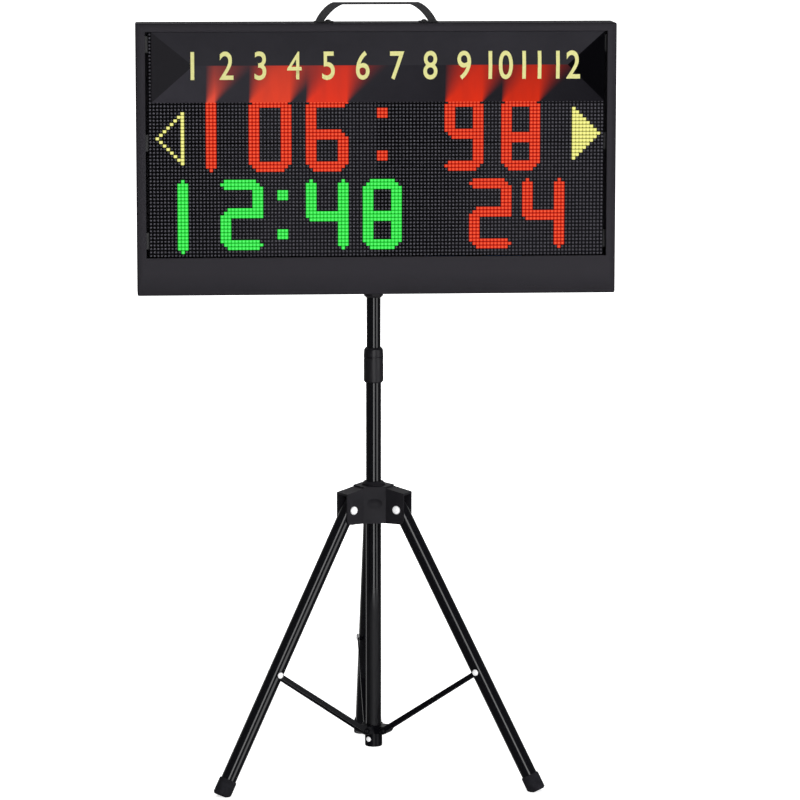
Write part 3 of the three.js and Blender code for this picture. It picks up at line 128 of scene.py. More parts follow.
def new_material(name, roughness, specular=0.5, metallic=0.0):
    material = bpy.data.materials.new(name)
    material.use_nodes = True
    shader = material.node_tree.nodes["Principled BSDF"]
    shader.inputs["Roughness"].default_value = roughness
    shader.inputs["Specular IOR Level"].default_value = specular
    shader.inputs["Metallic"].default_value = metallic
    return material, shader


def add_node(owner, kind, **settings):
    """A new node. Each setting is a property of the node or, if it has none of that name, an input."""
    node = owner.node_tree.nodes.new(kind)
    for key, value in settings.items():
        if hasattr(node, key):
            setattr(node, key, value)
        else:
            node.inputs[key].default_value = value
    return node


def join(owner, source, target):
    """Links another node's output to an input, or sets the input to a number, a vector or a colour."""
    if isinstance(source, bpy.types.NodeSocket):
        owner.node_tree.links.new(source, target)
    elif target.type == "RGBA":
        target.default_value = (*source, 1)
    else:
        target.default_value = source


def calculate(owner, operation, *values, clamp=False):
    """One step of arithmetic with numbers or the outputs of other nodes."""
    node = add_node(owner, "ShaderNodeMath", operation=operation, use_clamp=clamp)
    for value, socket in zip(values, node.inputs):
        join(owner, value, socket)
    return node.outputs[0]


def multiply(owner, *values):
    product = values[0]
    for value in values[1:]:
        product = calculate(owner, "MULTIPLY", product, value)
    return product


def vector_step(owner, operation, *values):
    node = add_node(owner, "ShaderNodeVectorMath", operation=operation)
    for value, socket in zip(values, node.inputs):
        join(owner, value, socket)
    return node


def axes_of(owner, vector):
    """The three parts of a vector, by the names X, Y and Z."""
    node = add_node(owner, "ShaderNodeSeparateXYZ")
    join(owner, vector, node.inputs[0])
    return node.outputs


def place(material, stretch=(1, 1, 1)):
    """Object coordinates in metres, stretched along an axis for brushed or drawn finishes."""
    coordinates = add_node(material, "ShaderNodeTexCoord")
    mapping = add_node(material, "ShaderNodeMapping", Scale=stretch)
    join(material, coordinates.outputs["Object"], mapping.inputs["Vector"])
    return mapping.outputs["Vector"]


def noise(material, where, scale, detail=3.0, rough=0.55):
    """A noise whose features are about one metre divided by the scale."""
    node = add_node(material, "ShaderNodeTexNoise", Scale=scale, Detail=detail, Roughness=rough)
    join(material, where, node.inputs["Vector"])
    return node.outputs["Fac"]


def spread(owner, value, low, high, start=0.3, end=0.7):
    """Maps the range from start to end, which is a noise's middle, to the range from low to high."""
    node = add_node(owner, "ShaderNodeMapRange")
    for name, number in (("From Min", start), ("From Max", end), ("To Min", low), ("To Max", high)):
        node.inputs[name].default_value = number
    join(owner, value, node.inputs["Value"])
    return node.outputs["Result"]


def mix_colours(material, factor, first, second):
    node = add_node(material, "ShaderNodeMix", data_type="RGBA")
    for value, socket in ((factor, MIX_FACTOR), (first, MIX_FIRST), (second, MIX_SECOND)):
        join(material, value, node.inputs[socket])
    return node.outputs[MIX_RESULT]


def tone(colour, share, lift=0.0):
    """A darker or paler kind of a colour."""
    return tuple(c * share + lift for c in colour)


def bump(material, shader, height, distance, strength=1.0):
    node = add_node(material, "ShaderNodeBump", Distance=distance, Strength=strength)
    join(material, height, node.inputs["Height"])
    join(material, node.outputs["Normal"], shader.inputs["Normal"])


def emit(material, shader, colour, strength=1.0):
    join(material, colour, shader.inputs["Emission Color"])
    shader.inputs["Emission Strength"].default_value = strength


print("node helpers are ready")

# %% [markdown]
# ## Floor, air and lamps of the studio
# The board stands in a white studio. What the camera sees of the air and of the floor is plain white, apart
# from the soft shadow under the feet, but what the paint mirrors is dim: dark gloss paint would turn grey
# in a white room. The thin upright lines on the tubes are tall strips of light. They could be area lamps,
# but a tube mirrors the ground in front of it, so the lamps would need to reach below the floor. The strips
# are therefore drawn in the air, by direction, and only the gloss sees them.

# %% Studio
AIR_LEVEL = 0.30
AIR_IN_GLOSS = 0.07
FLOOR_RADIUS = 60.0
FLOOR_CORNERS = 96
FLOOR_COLOUR = (0.82, 0.82, 0.82)
# What the floor adds for the camera near the feet and far away, and the two distances in metres
FLOOR_LIFT = (0.72, 1.3)
LIFT_DISTANCES = (0.6, 3.0)
# Strips of light: azimuth from the front, half width, lowest and highest elevation in degrees, and strength
STRIPS = ((1.0, 8, -28, 40, 4.2), (53, 12, -28, 12, 2.2), (180, 45, -60, 60, 0.4))
STRIP_EDGE = 3
# Soft boxes: azimuth from the front in degrees to the right, height above the floor and distance, the
# box's own width and height in metres, and watts
SOFT_BOXES = {"front_box": (-4, 1.3, 5.2, 0.9, 4.0, 62), "right_box": (51, 1.4, 4.2, 1.0, 3.2, 74),
              "top_fill": (10, 4.0, 2.6, 2.6, 1.6, 16), "back_fill": (192, 2.6, 4.5, 2.4, 1.8, 165)}


def ray_level(owner, start, terms):
    """A sum that begins with a number and adds a share for each named kind of ray."""
    path = add_node(owner, "ShaderNodeLightPath")
    total = start
    for ray, share in terms:
        total = calculate(owner, "MULTIPLY_ADD", path.outputs[ray], share, total)
    return total


def strip_of_light(air, direction, azimuth, half, low, high, strength):
    turn = math.radians(azimuth)
    level_way = vector_step(air, "MULTIPLY", direction, (1, 1, 0)).outputs["Vector"]
    unit = vector_step(air, "NORMALIZE", level_way).outputs["Vector"]
    along = vector_step(air, "DOT_PRODUCT", unit, (math.sin(turn), -math.cos(turn), 0)).outputs["Value"]
    sides = [math.cos(math.radians(half + STRIP_EDGE)), math.cos(math.radians(half - STRIP_EDGE))]
    across = spread(air, along, 0, 1, *sides)
    upward = axes_of(air, direction)["Z"]
    above, below = (spread(air, upward, 0, 1, math.sin(math.radians(end - STRIP_EDGE)),
                           math.sin(math.radians(end + STRIP_EDGE))) for end in (low, high))
    return multiply(air, across, calculate(air, "SUBTRACT", above, below), strength)


def make_air():
    air = bpy.data.worlds.new("air")
    bpy.context.scene.world = air
    air.use_nodes = True
    background = air.node_tree.nodes["Background"]
    background.inputs["Color"].default_value = (1, 1, 1, 1)
    direction = add_node(air, "ShaderNodeTexCoord").outputs["Generated"]
    mirrored = AIR_IN_GLOSS - AIR_LEVEL
    for strip in STRIPS:
        mirrored = calculate(air, "ADD", strip_of_light(air, direction, *strip), mirrored)
    level = ray_level(air, AIR_LEVEL, (("Is Camera Ray", 1 - AIR_LEVEL), ("Is Glossy Ray", mirrored)))
    join(air, level, background.inputs["Strength"])


def make_floor():
    bpy.ops.mesh.primitive_circle_add(vertices=FLOOR_CORNERS, radius=FLOOR_RADIUS, fill_type="NGON",
                                      location=(0, 0, 0))
    floor = bpy.context.object
    floor.name = "floor"
    material, shader = new_material("studio_floor", roughness=0.9, specular=0.0)
    join(material, FLOOR_COLOUR, shader.inputs["Base Color"])
    away = vector_step(material, "LENGTH", place(material)).outputs["Value"]
    lift = spread(material, away, *FLOOR_LIFT, *LIFT_DISTANCES)
    glow = add_node(material, "ShaderNodeEmission")
    join(material, ray_level(material, 0.0, (("Is Camera Ray", lift),)), glow.inputs["Strength"])
    both = add_node(material, "ShaderNodeAddShader")
    join(material, shader.outputs[0], both.inputs[0])
    join(material, glow.outputs[0], both.inputs[1])
    join(material, both.outputs[0], material.node_tree.nodes["Material Output"].inputs["Surface"])
    floor.data.materials.append(material)
    floor.visible_glossy = False


def soft_box(name, azimuth, height, distance, width, tall, watts):
    """An area lamp that is aimed at the middle of the object."""
    turn = math.radians(azimuth)
    data = bpy.data.lights.new(name, "AREA")
    data.shape = "RECTANGLE"
    data.size = width
    data.size_y = tall
    data.energy = watts
    lamp = bpy.data.objects.new(name, data)
    lamp.location = (distance * math.sin(turn), -distance * math.cos(turn), height)
    aim = Vector((0, 0, frame_box[1][2] / 2)) - lamp.location
    lamp.rotation_euler = aim.to_track_quat("-Z", "Y").to_euler()
    lamp.visible_camera = False
    lamp.visible_glossy = False
    bpy.context.scene.collection.objects.link(lamp)


make_air()
make_floor()
for name, values in SOFT_BOXES.items():
    soft_box(name, *values)
bpy.context.scene.view_settings.view_transform = "Standard"

# %% [markdown]
# ## Painted and moulded finishes
# The case and the stand are dark, and dark plastics differ by their gloss and their grain more than by
# their colour. Moulded parts have a fine spark-eroded grain. Gloss paint on tube has none, but dust and
# hairlines break up its shine. Both are made from noise at the real scale of the grain. Edges are rubbed a
# little paler, but not on the back pan: the edges are felt at the vertices, and its small holes would throw
# long wedges. The front of the column is rubbed dull near its lower end, so the lines of light fade there.

# %% Moulded plastic and gloss paint
CASE_BLACK = (0.0232, 0.0216, 0.0262)
FITTING_BLACK = (0.012, 0.012, 0.014)
TUBE_BLACK = (0.0032, 0.0032, 0.0048)
GRAIN_PER_METRE = 1500
WORN_SHARE, WORN_LIFT = 1.5, 0.004
# How much duller the rubbed paint is, the heights over which that fades, and the depths behind the front
RUBBED_DULL = 0.50
RUBBED_HEIGHTS = (238 * MM, 281 * MM)
RUBBED_DEPTHS = (3 * MM, 5.5 * MM)


def moulded_plastic(name, colour, roughness, grain, specular, worn=True):
    material, shader = new_material(name, roughness, specular)
    where = place(material)
    slow = noise(material, where, scale=22, detail=4)
    body = mix_colours(material, spread(material, slow, 0, 1), tone(colour, 0.86), tone(colour, 1.14))
    if worn:
        surface = add_node(material, "ShaderNodeNewGeometry")
        edges = spread(material, surface.outputs["Pointiness"], 0, 0.55, start=0.52, end=0.62)
        body = mix_colours(material, edges, body, tone(colour, WORN_SHARE, WORN_LIFT))
    join(material, body, shader.inputs["Base Color"])
    join(material, spread(material, slow, roughness - 0.05, roughness + 0.06), shader.inputs["Roughness"])
    bump(material, shader, noise(material, where, GRAIN_PER_METRE, detail=2), grain, strength=0.6)
    return material


def gloss_paint(name, colour, roughness, specular, rubbed=None):
    """Gloss paint. It is rubbed dull low on the front if the depths of the rubbed front are given."""
    material, shader = new_material(name, roughness, specular)
    where = place(material)
    dust = noise(material, where, scale=260, detail=5, rough=0.7)
    dusty = spread(material, dust, 0, 1, start=0.45, end=0.8)
    skin = mix_colours(material, dusty, colour, tone(colour, 1.25, 0.0012))
    join(material, skin, shader.inputs["Base Color"])
    hairlines = noise(material, place(material, stretch=(1, 1, 0.04)), scale=900, detail=2)
    shine = spread(material, hairlines, roughness - 0.03, roughness + 0.05)
    if rubbed:
        axes = axes_of(material, where)
        low = spread(material, axes["Z"], RUBBED_DULL, 0, *RUBBED_HEIGHTS)
        front = spread(material, axes["Y"], 1, 0, *rubbed)
        shine = calculate(material, "ADD", shine, multiply(material, low, front))
    join(material, shine, shader.inputs["Roughness"])
    bump(material, shader, noise(material, where, scale=120, detail=2), 0.01 * MM, strength=0.3)
    return material


case_finish = moulded_plastic("case_shell", CASE_BLACK, 0.62, 0.05 * MM, specular=0.12)
back_finish = moulded_plastic("back_shell", CASE_BLACK, 0.62, 0.05 * MM, specular=0.12, worn=False)
collar_finish = moulded_plastic("collar_plastic", (0.0092, 0.0087, 0.0110), 0.40, 0.03 * MM, specular=0.36)
hub_finish = moulded_plastic("hub_plastic", (0.0142, 0.0135, 0.0165), 0.50, 0.04 * MM, specular=0.14)
socket_finish = moulded_plastic("socket_plastic", (0.0150, 0.0142, 0.0170), 0.45, 0.03 * MM, specular=0.25)
fitting_finish = moulded_plastic("fitting_plastic", FITTING_BLACK, 0.45, 0.03 * MM, specular=0.3)
knob_finish = moulded_plastic("knob_plastic", FITTING_BLACK, 0.55, 0.06 * MM, specular=0.3)
handle_finish = moulded_plastic("handle_plastic", (0.022, 0.022, 0.024), 0.55, 0.06 * MM, specular=0.25)
tube_finish = gloss_paint("tube_paint", TUBE_BLACK, 0.12, specular=0.5)
column_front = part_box("column_tube")[0].y
column_finish = gloss_paint("column_paint", TUBE_BLACK, 0.12, specular=0.5,
                            rubbed=[column_front + depth for depth in RUBBED_DEPTHS])
brace_finish = gloss_paint("brace_paint", (0.0030, 0.0030, 0.0045), 0.3, specular=0.12)
rocker_finish = gloss_paint("rocker_plastic", (0.006, 0.006, 0.007), 0.2, specular=0.35)
print("moulded and painted finishes are ready")

# %% [markdown]
# ## Rubber, bare metal and the inner pieces
# The foot caps are rubber, with a chalky bloom and a grain that swallows light. The rivets are bare
# aluminium, polished by the heading tool, and a little emission stands for the flash that they throw back.
# The screws are zinc plated with turning marks. The pieces inside the case are only seen through the vents,
# but each still has its own plain finish.

# %% Rubber and metal
def rubber_finish(name, colour):
    material, shader = new_material(name, roughness=0.82, specular=0.2)
    where = place(material)
    bloom = noise(material, where, scale=90, detail=5, rough=0.65)
    chalk = spread(material, bloom, 0, 1, start=0.4, end=0.75)
    join(material, mix_colours(material, chalk, colour, tone(colour, 1.8)), shader.inputs["Base Color"])
    bump(material, shader, noise(material, where, scale=900), 0.12 * MM, strength=0.6)
    return material


def bare_metal(name, colour, roughness, stretch=(1, 1, 1), metallic=1.0, flash=0.0):
    material, shader = new_material(name, roughness, metallic=metallic)
    marks = noise(material, place(material, stretch), scale=700)
    skin = mix_colours(material, spread(material, marks, 0, 1), tone(colour, 0.82), colour)
    join(material, skin, shader.inputs["Base Color"])
    join(material, spread(material, marks, roughness - 0.06, roughness + 0.1), shader.inputs["Roughness"])
    bump(material, shader, marks, 0.02 * MM, strength=0.5)
    emit(material, shader, colour, flash)
    return material


def circuit_board():
    material, shader = new_material("circuit_board", roughness=0.4)
    tracks = add_node(material, "ShaderNodeTexBrick", Scale=220.0)
    join(material, place(material), tracks.inputs["Vector"])
    join(material, (0.012, 0.11, 0.045), tracks.inputs["Color1"])
    join(material, (0.016, 0.14, 0.055), tracks.inputs["Color2"])
    join(material, (0.03, 0.22, 0.09), tracks.inputs["Mortar"])
    join(material, tracks.outputs["Color"], shader.inputs["Base Color"])
    bump(material, shader, tracks.outputs["Fac"], 0.05 * MM, strength=0.5)
    return material


foot_finish = rubber_finish("foot_rubber", (0.0118, 0.0116, 0.0145))
rivet_finish = bare_metal("rivet_metal", (0.97, 0.97, 0.98), 0.5, metallic=0.0, flash=0.34)
screw_finish = bare_metal("screw_steel", (0.42, 0.42, 0.44), 0.36)
rail_finish = gloss_paint("rail_paint", (0.008, 0.008, 0.010), 0.35, specular=0.3)
supply_finish = bare_metal("supply_case", (0.58, 0.60, 0.62), 0.45, stretch=(0.05, 1, 1))
wrap_finish = gloss_paint("cell_wrap", (0.03, 0.10, 0.34), 0.25, specular=0.5)
board_finish = circuit_board()
print("rubber, metal and inner finishes are ready")

# %% [markdown]
# ## The mask round the lamps
# The modules' front is a matt black moulding with a louvre over every row of lamps, so that daylight doesn't
# wash them out. The louvres are in the frame. The pattern here adds the thin web between neighbouring lamps,
# drawn from the lamps' own pitch.

# %% Mask
WEB_BLACK = (0.0062, 0.0060, 0.0076)
CELL_BLACK = (0.0108, 0.0104, 0.0130)
# Where the web ends and the cell begins, as distances from the middle of the web
WEB_EDGES = (LAMP_PITCH * 0.06, LAMP_PITCH * 0.16)


def from_cell_edge(material, place_on_face):
    """How far a place on the face is from the nearest edge between two lamps' cells."""
    return calculate(material, "PINGPONG", place_on_face, LAMP_PITCH / 2)


def mask_plastic():
    material, shader = new_material("lamp_mask", roughness=0.75, specular=0.15)
    where = place(material)
    cell = spread(material, from_cell_edge(material, axes_of(material, where)["X"]), 0, 1, *WEB_EDGES)
    join(material, mix_colours(material, cell, WEB_BLACK, CELL_BLACK), shader.inputs["Base Color"])
    bump(material, shader, noise(material, where, scale=1600, detail=2), 0.03 * MM, strength=0.5)
    return material


mask_finish = mask_plastic()
print("mask is ready")

# %% [markdown]
# ## Giving the frame's pieces their finish
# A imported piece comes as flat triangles. Its vertices stay as they are, and modifiers do the rest: Weld
# joins the triangles, Decimate in planar mode takes away the lines inside flat faces, Bevel rounds the sharp
# edges, and Weighted Normal keeps the flats flat while the round sides shade smoothly. A bevel is clamped
# where it would overlap. On the back pan that would shrink it to nothing, so its bevel is narrow and free.

# %% Dress the frame's pieces
WELD_REACH = 0.09 * MM
FLAT_DEGREES = 0.5
SHARP_DEGREES = 32
THIN_BEVEL = 0.2 * MM


def dress(node, material, bevel=0.4 * MM, segments=2, clamp=True):
    piece = nodes[node]
    piece.data.materials.clear()
    piece.data.materials.append(material)
    for polygon in piece.data.polygons:
        polygon.use_smooth = True
    weld = piece.modifiers.new("weld", "WELD")
    weld.merge_threshold = WELD_REACH
    planar = piece.modifiers.new("planar", "DECIMATE")
    planar.decimate_type = "DISSOLVE"
    planar.angle_limit = math.radians(FLAT_DEGREES)
    if bevel:
        round_edges = piece.modifiers.new("bevel", "BEVEL")
        round_edges.width = bevel
        round_edges.segments = segments
        round_edges.limit_method = "ANGLE"
        round_edges.angle_limit = math.radians(SHARP_DEGREES)
        round_edges.use_clamp_overlap = clamp
        round_edges.harden_normals = True
    normals = piece.modifiers.new("normals", "WEIGHTED_NORMAL")
    normals.keep_sharp = True


SIDES = ("rear", "left", "right")
CORNERS = ("top_left", "top_right", "bottom_left", "bottom_right")
PLAIN_PIECES = {"power_supply": supply_finish, "battery_pack": wrap_finish, "control_card": board_finish,
                "buzzer": fitting_finish, "battery_strap": fitting_finish, "collet_sleeve": fitting_finish,
                "switch_body": fitting_finish, "charge_inlet": fitting_finish, "mast_plug": fitting_finish,
                "switch_rocker": rocker_finish, "carry_handle": handle_finish, "mast_socket": socket_finish,
                "socket_screw": knob_finish, "hub_screw": knob_finish, "collar_body": collar_finish,
                "twist_ring": collar_finish, "hub": hub_finish, "bottom_bracket": brace_finish,
                "column_rivet": rivet_finish}
dress("front_frame", case_finish, 0.8 * MM, segments=3)
dress("rear_case", back_finish, 0.3 * MM, clamp=False)
for corner in CORNERS:
    dress(f"led_module_{corner}", mask_finish, 0)
for level in ("top", "middle", "bottom"):
    dress(f"module_rail_{level}", rail_finish)
for node, finish in PLAIN_PIECES.items():
    dress(node, finish)
dress("mast_tube", tube_finish, THIN_BEVEL)
dress("column_tube", column_finish, THIN_BEVEL)
for node in [n for n in nodes if n.startswith(("case_screw_", "handle_screw_"))]:
    dress(node, screw_finish, THIN_BEVEL)
for side in SIDES:
    dress(f"leg_{side}", tube_finish, THIN_BEVEL)
    dress(f"foot_{side}", foot_finish, 0.6 * MM, segments=3)
    dress(f"brace_{side}", brace_finish)
    dress(f"leg_rivet_{side}", rivet_finish, 0)
    for end in ("near", "far"):
        dress(f"brace_rivet_{side}_{end}", rivet_finish, 0)
    dress(f"bracket_rivet_{side}", brace_finish, 0)
undressed = [n for n, piece in nodes.items() if not piece.modifiers and n != "header_cover"]
print("without a finish:", undressed)

# %% [markdown]
# ## Which lamps are lit
# The figures are drawn in strokes three lamps wide. A figure could be a bitmap font, but a few strokes with
# cut corners say the same in fewer lines: each figure lists its strokes, how far its corners are cut,
# the ends that come to a point, and how many rows its middle stroke is raised above the centre.

# %% Strokes of the figures
STROKE = 3
ALL_STROKES = ("top", "middle", "bottom", "upper_left", "lower_left", "upper_right", "lower_right")
ROUND = {"top_left": 2, "top_right": 2, "bottom_left": 2, "bottom_right": 2}
FIGURES = {
    "0": (("top", "bottom", "upper_left", "lower_left", "upper_right", "lower_right"), ROUND, (), 0),
    "1": (("upper_left", "lower_left"), {}, ("left_head", "left_foot"), 0),
    "2": (("top", "upper_right", "middle", "lower_left", "bottom"),
          {"top_right": 2, "bottom_left": 2, "middle_left_upper": 2}, ("top_start", "bottom_end"), 1),
    "4": (("upper_left", "middle", "upper_right", "lower_right"),
          {"middle_left_lower": 1}, ("left_head", "right_head", "right_foot"), 0),
    "6": (("top", "upper_left", "middle", "lower_left", "lower_right", "bottom"),
          {"top_left": 2, "bottom_left": 2, "bottom_right": 2, "middle_right_upper": 2}, ("top_end",), 1),
    "8": (ALL_STROKES, ROUND, (), 0),
    "9": (("top", "upper_left", "upper_right", "middle", "lower_right", "bottom"),
          {"top_left": 2, "top_right": 2, "bottom_right": 2, "middle_left_lower": 2}, ("bottom_start",), 1)}


def lamps_in(x0, y0, x1, y1):
    return {(x, y) for x in range(x0, x1 + 1) for y in range(y0, y1 + 1)}


def corner_lamps(x, y, step_x, step_y, size):
    return {(x + step_x * i, y + step_y * j) for i in range(size) for j in range(size - i)}


def draw(sign, wide, tall):
    """The lit lamps of a figure, with (0, 0) at its top left."""
    strokes, cuts, points, raised = FIGURES[sign]
    end_x, end_y = wide - 1, tall - 1
    right, bottom = wide - STROKE, tall - STROKE
    middle = end_y // 2 - raised
    low = middle + STROKE - 1
    bars = {"top": (0, 0, end_x, STROKE - 1), "middle": (0, middle, end_x, low),
            "bottom": (0, bottom, end_x, end_y),
            "upper_left": (0, 0, STROKE - 1, low), "lower_left": (0, middle, STROKE - 1, end_y),
            "upper_right": (right, 0, end_x, low), "lower_right": (right, middle, end_x, end_y)}
    corners = {"top_left": (0, 0, 1, 1), "top_right": (end_x, 0, -1, 1),
               "bottom_left": (0, end_y, 1, -1), "bottom_right": (end_x, end_y, -1, -1),
               "middle_left_upper": (0, middle, 1, 1), "middle_left_lower": (0, low, 1, -1),
               "middle_right_upper": (end_x, middle, -1, 1)}
    tips = {"top_start": [(0, 0), (0, 2)], "top_end": [(end_x, 0), (end_x, 2)],
            "bottom_start": [(0, end_y), (0, end_y - 2)],
            "bottom_end": [(end_x, end_y), (end_x, end_y - 2)],
            "left_head": [(0, 0), (2, 0)], "left_foot": [(0, end_y), (2, end_y)],
            "right_head": [(end_x, 0), (end_x - 2, 0)], "right_foot": [(end_x, end_y), (end_x - 2, end_y)]}
    lit = set().union(*(lamps_in(*bars[name]) for name in strokes))
    for name, size in cuts.items():
        lit -= corner_lamps(*corners[name], size)
    for name in points:
        lit -= set(tips[name])
    return lit


print("figure 2 has", len(draw("2", 12, 20)), "lit lamps")

# %% [markdown]
# ## Laying out the score, the clock and the arrows
# The upper row is the score in red, the lower row the clock in green and a short count in red. The columns
# and rows here are counted in lamps from the top left of the face. Two arrows say which side has the ball.

# %% Lay out the face
SCORE_ROW, SCORE_TALL = 19, 21
CLOCK_ROW, CLOCK_TALL = 42, 20
# Each figure: its sign, its left column, and how many lamps wide it is
SCORE_FIGURES = (("1", 16, 3), ("0", 28, 12), ("6", 44, 12), ("9", 83, 11), ("8", 99, 11))
CLOCK_FIGURES = (("2", 20, 12), ("4", 44, 12), ("8", 60, 11))
COUNT_FIGURES = (("2", 90, 12), ("4", 105, 12))
# The clock's first figure, which is one lamp taller than the others
CLOCK_FIRST = (("1", 8, 3),)
# Each colon: its left column and the top rows of its two dots
SCORE_COLON = (64, 22, 34)
CLOCK_COLON = (36, 45, 56)
# Each arrow: the column of its left end and the row of its middle
LEFT_ARROW = (2, 30)
RIGHT_ARROW = (119, 29)
ARROW_REACH = 7


def colon(column, *rows):
    return set().union(*(lamps_in(column, row, column + STROKE - 1, row + STROKE - 1) for row in rows))


def lamps_of(figures, row, tall):
    return {(x + column, y + row) for sign, column, wide in figures for x, y in draw(sign, wide, tall)}


def arrow_outline(column, row):
    slopes = {(column + abs(i), row + i) for i in range(-ARROW_REACH, ARROW_REACH + 1)}
    back = column + ARROW_REACH
    return slopes | lamps_in(back, row - ARROW_REACH, back, row + ARROW_REACH)


def arrow_filled(column, row):
    return {(column + k, row + i) for i in range(-ARROW_REACH, ARROW_REACH + 1)
            for k in range(ARROW_REACH + 1 - abs(i))}


red = lamps_of(SCORE_FIGURES, SCORE_ROW, SCORE_TALL) | colon(*SCORE_COLON)
red |= lamps_of(COUNT_FIGURES, CLOCK_ROW, CLOCK_TALL)
green = lamps_of(CLOCK_FIGURES, CLOCK_ROW, CLOCK_TALL) | colon(*CLOCK_COLON)
green |= lamps_of(CLOCK_FIRST, CLOCK_ROW, CLOCK_TALL + 1)
yellow = arrow_outline(*LEFT_ARROW) | arrow_filled(*RIGHT_ARROW)
print("lit lamps: red", len(red), "green", len(green), "yellow", len(yellow))

# %% [markdown]
# ## The lamps
# Every lamp is a small square package with cut corners and a domed lens. There are more than eight thousand,
# so each is a low cap of two bands round a flat crown, and all the unlit lamps of a module are one mesh.
# A lit lamp has a wider lens, because its light fills the cell round it. Between two lit lamps the edge of
# the louvre is lit too. That edge is a thin glowing strip on its own mesh, which is simpler than tracing
# the light of all those lamps.

# %% Lamp meshes
LAMP_HALF = 1.5 * MM
LIT_HALF = 2.46 * MM
LAMP_RISE = 0.7 * MM
CUT_SHARE = 0.42
# The rings of points of a lens, each with its share of the rise and of the half width
LENS_RINGS = ((0, 1), (0.6, 0.92), (1, 0.62))
RING_POINTS = 8
LIT_DROP = 0.2 * MM
LAMP_SEAT = 0.05 * MM
LOUVRE_THICKNESS = 0.9 * MM
SPILL_SEAT = 0.03 * MM


def lamp_ring(x, y, z, half):
    """The points of a square with cut corners, upright and facing the viewer."""
    inner = half - half * CUT_SHARE
    outline = [(-inner, -half), (inner, -half), (half, -inner), (half, inner), (inner, half),
               (-inner, half), (-half, inner), (-half, -inner)]
    return [(x + a, y, z + b) for a, b in outline]


def cell_middle(column, row):
    """The middle of a lamp's cell, across and up."""
    return (face_centre.x + (column - (FACE_COLUMNS - 1) / 2) * LAMP_PITCH,
            face_centre.z + ((FACE_ROWS - 1) / 2 - row) * LAMP_PITCH)


def new_piece(name, points, faces, smooth=False):
    mesh = bpy.data.meshes.new(name)
    mesh.from_pydata(points, [], faces)
    mesh.polygons.foreach_set("use_smooth", [smooth] * len(faces))
    mesh.update()
    piece = bpy.data.objects.new(name, mesh)
    bpy.context.scene.collection.objects.link(piece)
    return piece


def lamp_mesh(name, lamps, half, drop=0.0):
    points, faces = [], []
    for lamp in sorted(lamps):
        x, z = cell_middle(*lamp)
        start = len(points)
        for rise, share in LENS_RINGS:
            points += lamp_ring(x, face_y - LAMP_SEAT - LAMP_RISE * rise, z - drop, half * share)
        for band in range(len(LENS_RINGS) - 1):
            first = start + band * RING_POINTS
            for k in range(RING_POINTS):
                a, b = first + k, first + (k + 1) % RING_POINTS
                faces.append((a, b, b + RING_POINTS, a + RING_POINTS))
        faces.append(tuple(range(len(points) - RING_POINTS, len(points))))
    return new_piece(name, points, faces, smooth=True)


def spill_mesh(name, lamps):
    """The light on the louvre's edge between a lit lamp and the lit lamp above it."""
    points, faces = [], []
    y = face_low.y - SPILL_SEAT
    for column, row in sorted(lamps):
        if (column, row - 1) in lamps:
            x, z = cell_middle(column, row)
            left, right = x - LIT_HALF, x + LIT_HALF
            bottom = z + LAMP_PITCH / 2 - LOUVRE_THICKNESS
            top = z + LAMP_PITCH / 2 - LOUVRE_THICKNESS / 3
            start = len(points)
            points += [(left, y, bottom), (right, y, bottom), (right, y, top), (left, y, top)]
            faces.append(tuple(range(start, start + 4)))
    return new_piece(name, points, faces)


print("each lens has", len(LENS_RINGS) * RING_POINTS, "points")

# %% [markdown]
# ## Lighting the lamps
# The lens of an unlit lamp is grey and a little glossy. The light of a lit one is strongest at the middle
# and falls towards the rim, worked out from the place in its cell. One value per lamp could be stored in
# the mesh, but the pitch is the same all over, so a fold of the coordinates finds every cell.

# %% Lamp finishes
# The share of its own colour that a glowing piece shows unlit
GLOWING_BODY = 0.05
# Where the light begins and where it is full, as distances from the edge of a lamp's cell
LIGHT_RISE = (LAMP_PITCH * 0.05, LAMP_PITCH * 0.36)
# Each colour: its lit lamps, the light at the core, at the rim and on the louvre
LIT = {"red": (red, (0.95, 0.112, 0.045), (0.60, 0.010, 0.001), (0.60, 0.010, 0.001)),
       "green": (green, (0.115, 0.98, 0.175), (0.012, 0.68, 0.034), (0.026, 0.72, 0.055)),
       "yellow": (yellow, (1.0, 0.98, 0.34), (0.74, 0.72, 0.17), (0.38, 0.37, 0.10))}


def lens_finish(name, colour, pale, roughness):
    material, shader = new_material(name, roughness, specular=0.35)
    where = place(material)
    tint = spread(material, noise(material, where, scale=420, detail=1), 0, 1)
    join(material, mix_colours(material, tint, colour, pale), shader.inputs["Base Color"])
    bump(material, shader, noise(material, where, scale=2600, detail=1), 0.02 * MM, strength=0.4)
    return material


def lit_finish(name, core, rim):
    material, shader = new_material(name, roughness=0.4, specular=0.1)
    join(material, tone(rim, GLOWING_BODY), shader.inputs["Base Color"])
    where = place(material)
    axes = axes_of(material, where)
    near = []
    for axis, middle in (("X", face_centre.x), ("Z", face_centre.z - LIT_DROP)):
        shifted = calculate(material, "SUBTRACT", axes[axis], middle)
        near.append(spread(material, from_cell_edge(material, shifted), 0, 1, *LIGHT_RISE))
    uneven = spread(material, noise(material, where, scale=160, detail=1), 0.9, 1.0)
    level = multiply(material, *near, uneven)
    emit(material, shader, mix_colours(material, level, rim, core))
    return material


def spill_finish(name, colour):
    material, shader = new_material(name, roughness=0.6, specular=0.1)
    join(material, tone(colour, GLOWING_BODY), shader.inputs["Base Color"])
    uneven = spread(material, noise(material, place(material), scale=240, detail=1), 0, 1)
    emit(material, shader, mix_colours(material, uneven, tone(colour, 0.86), colour))
    return material


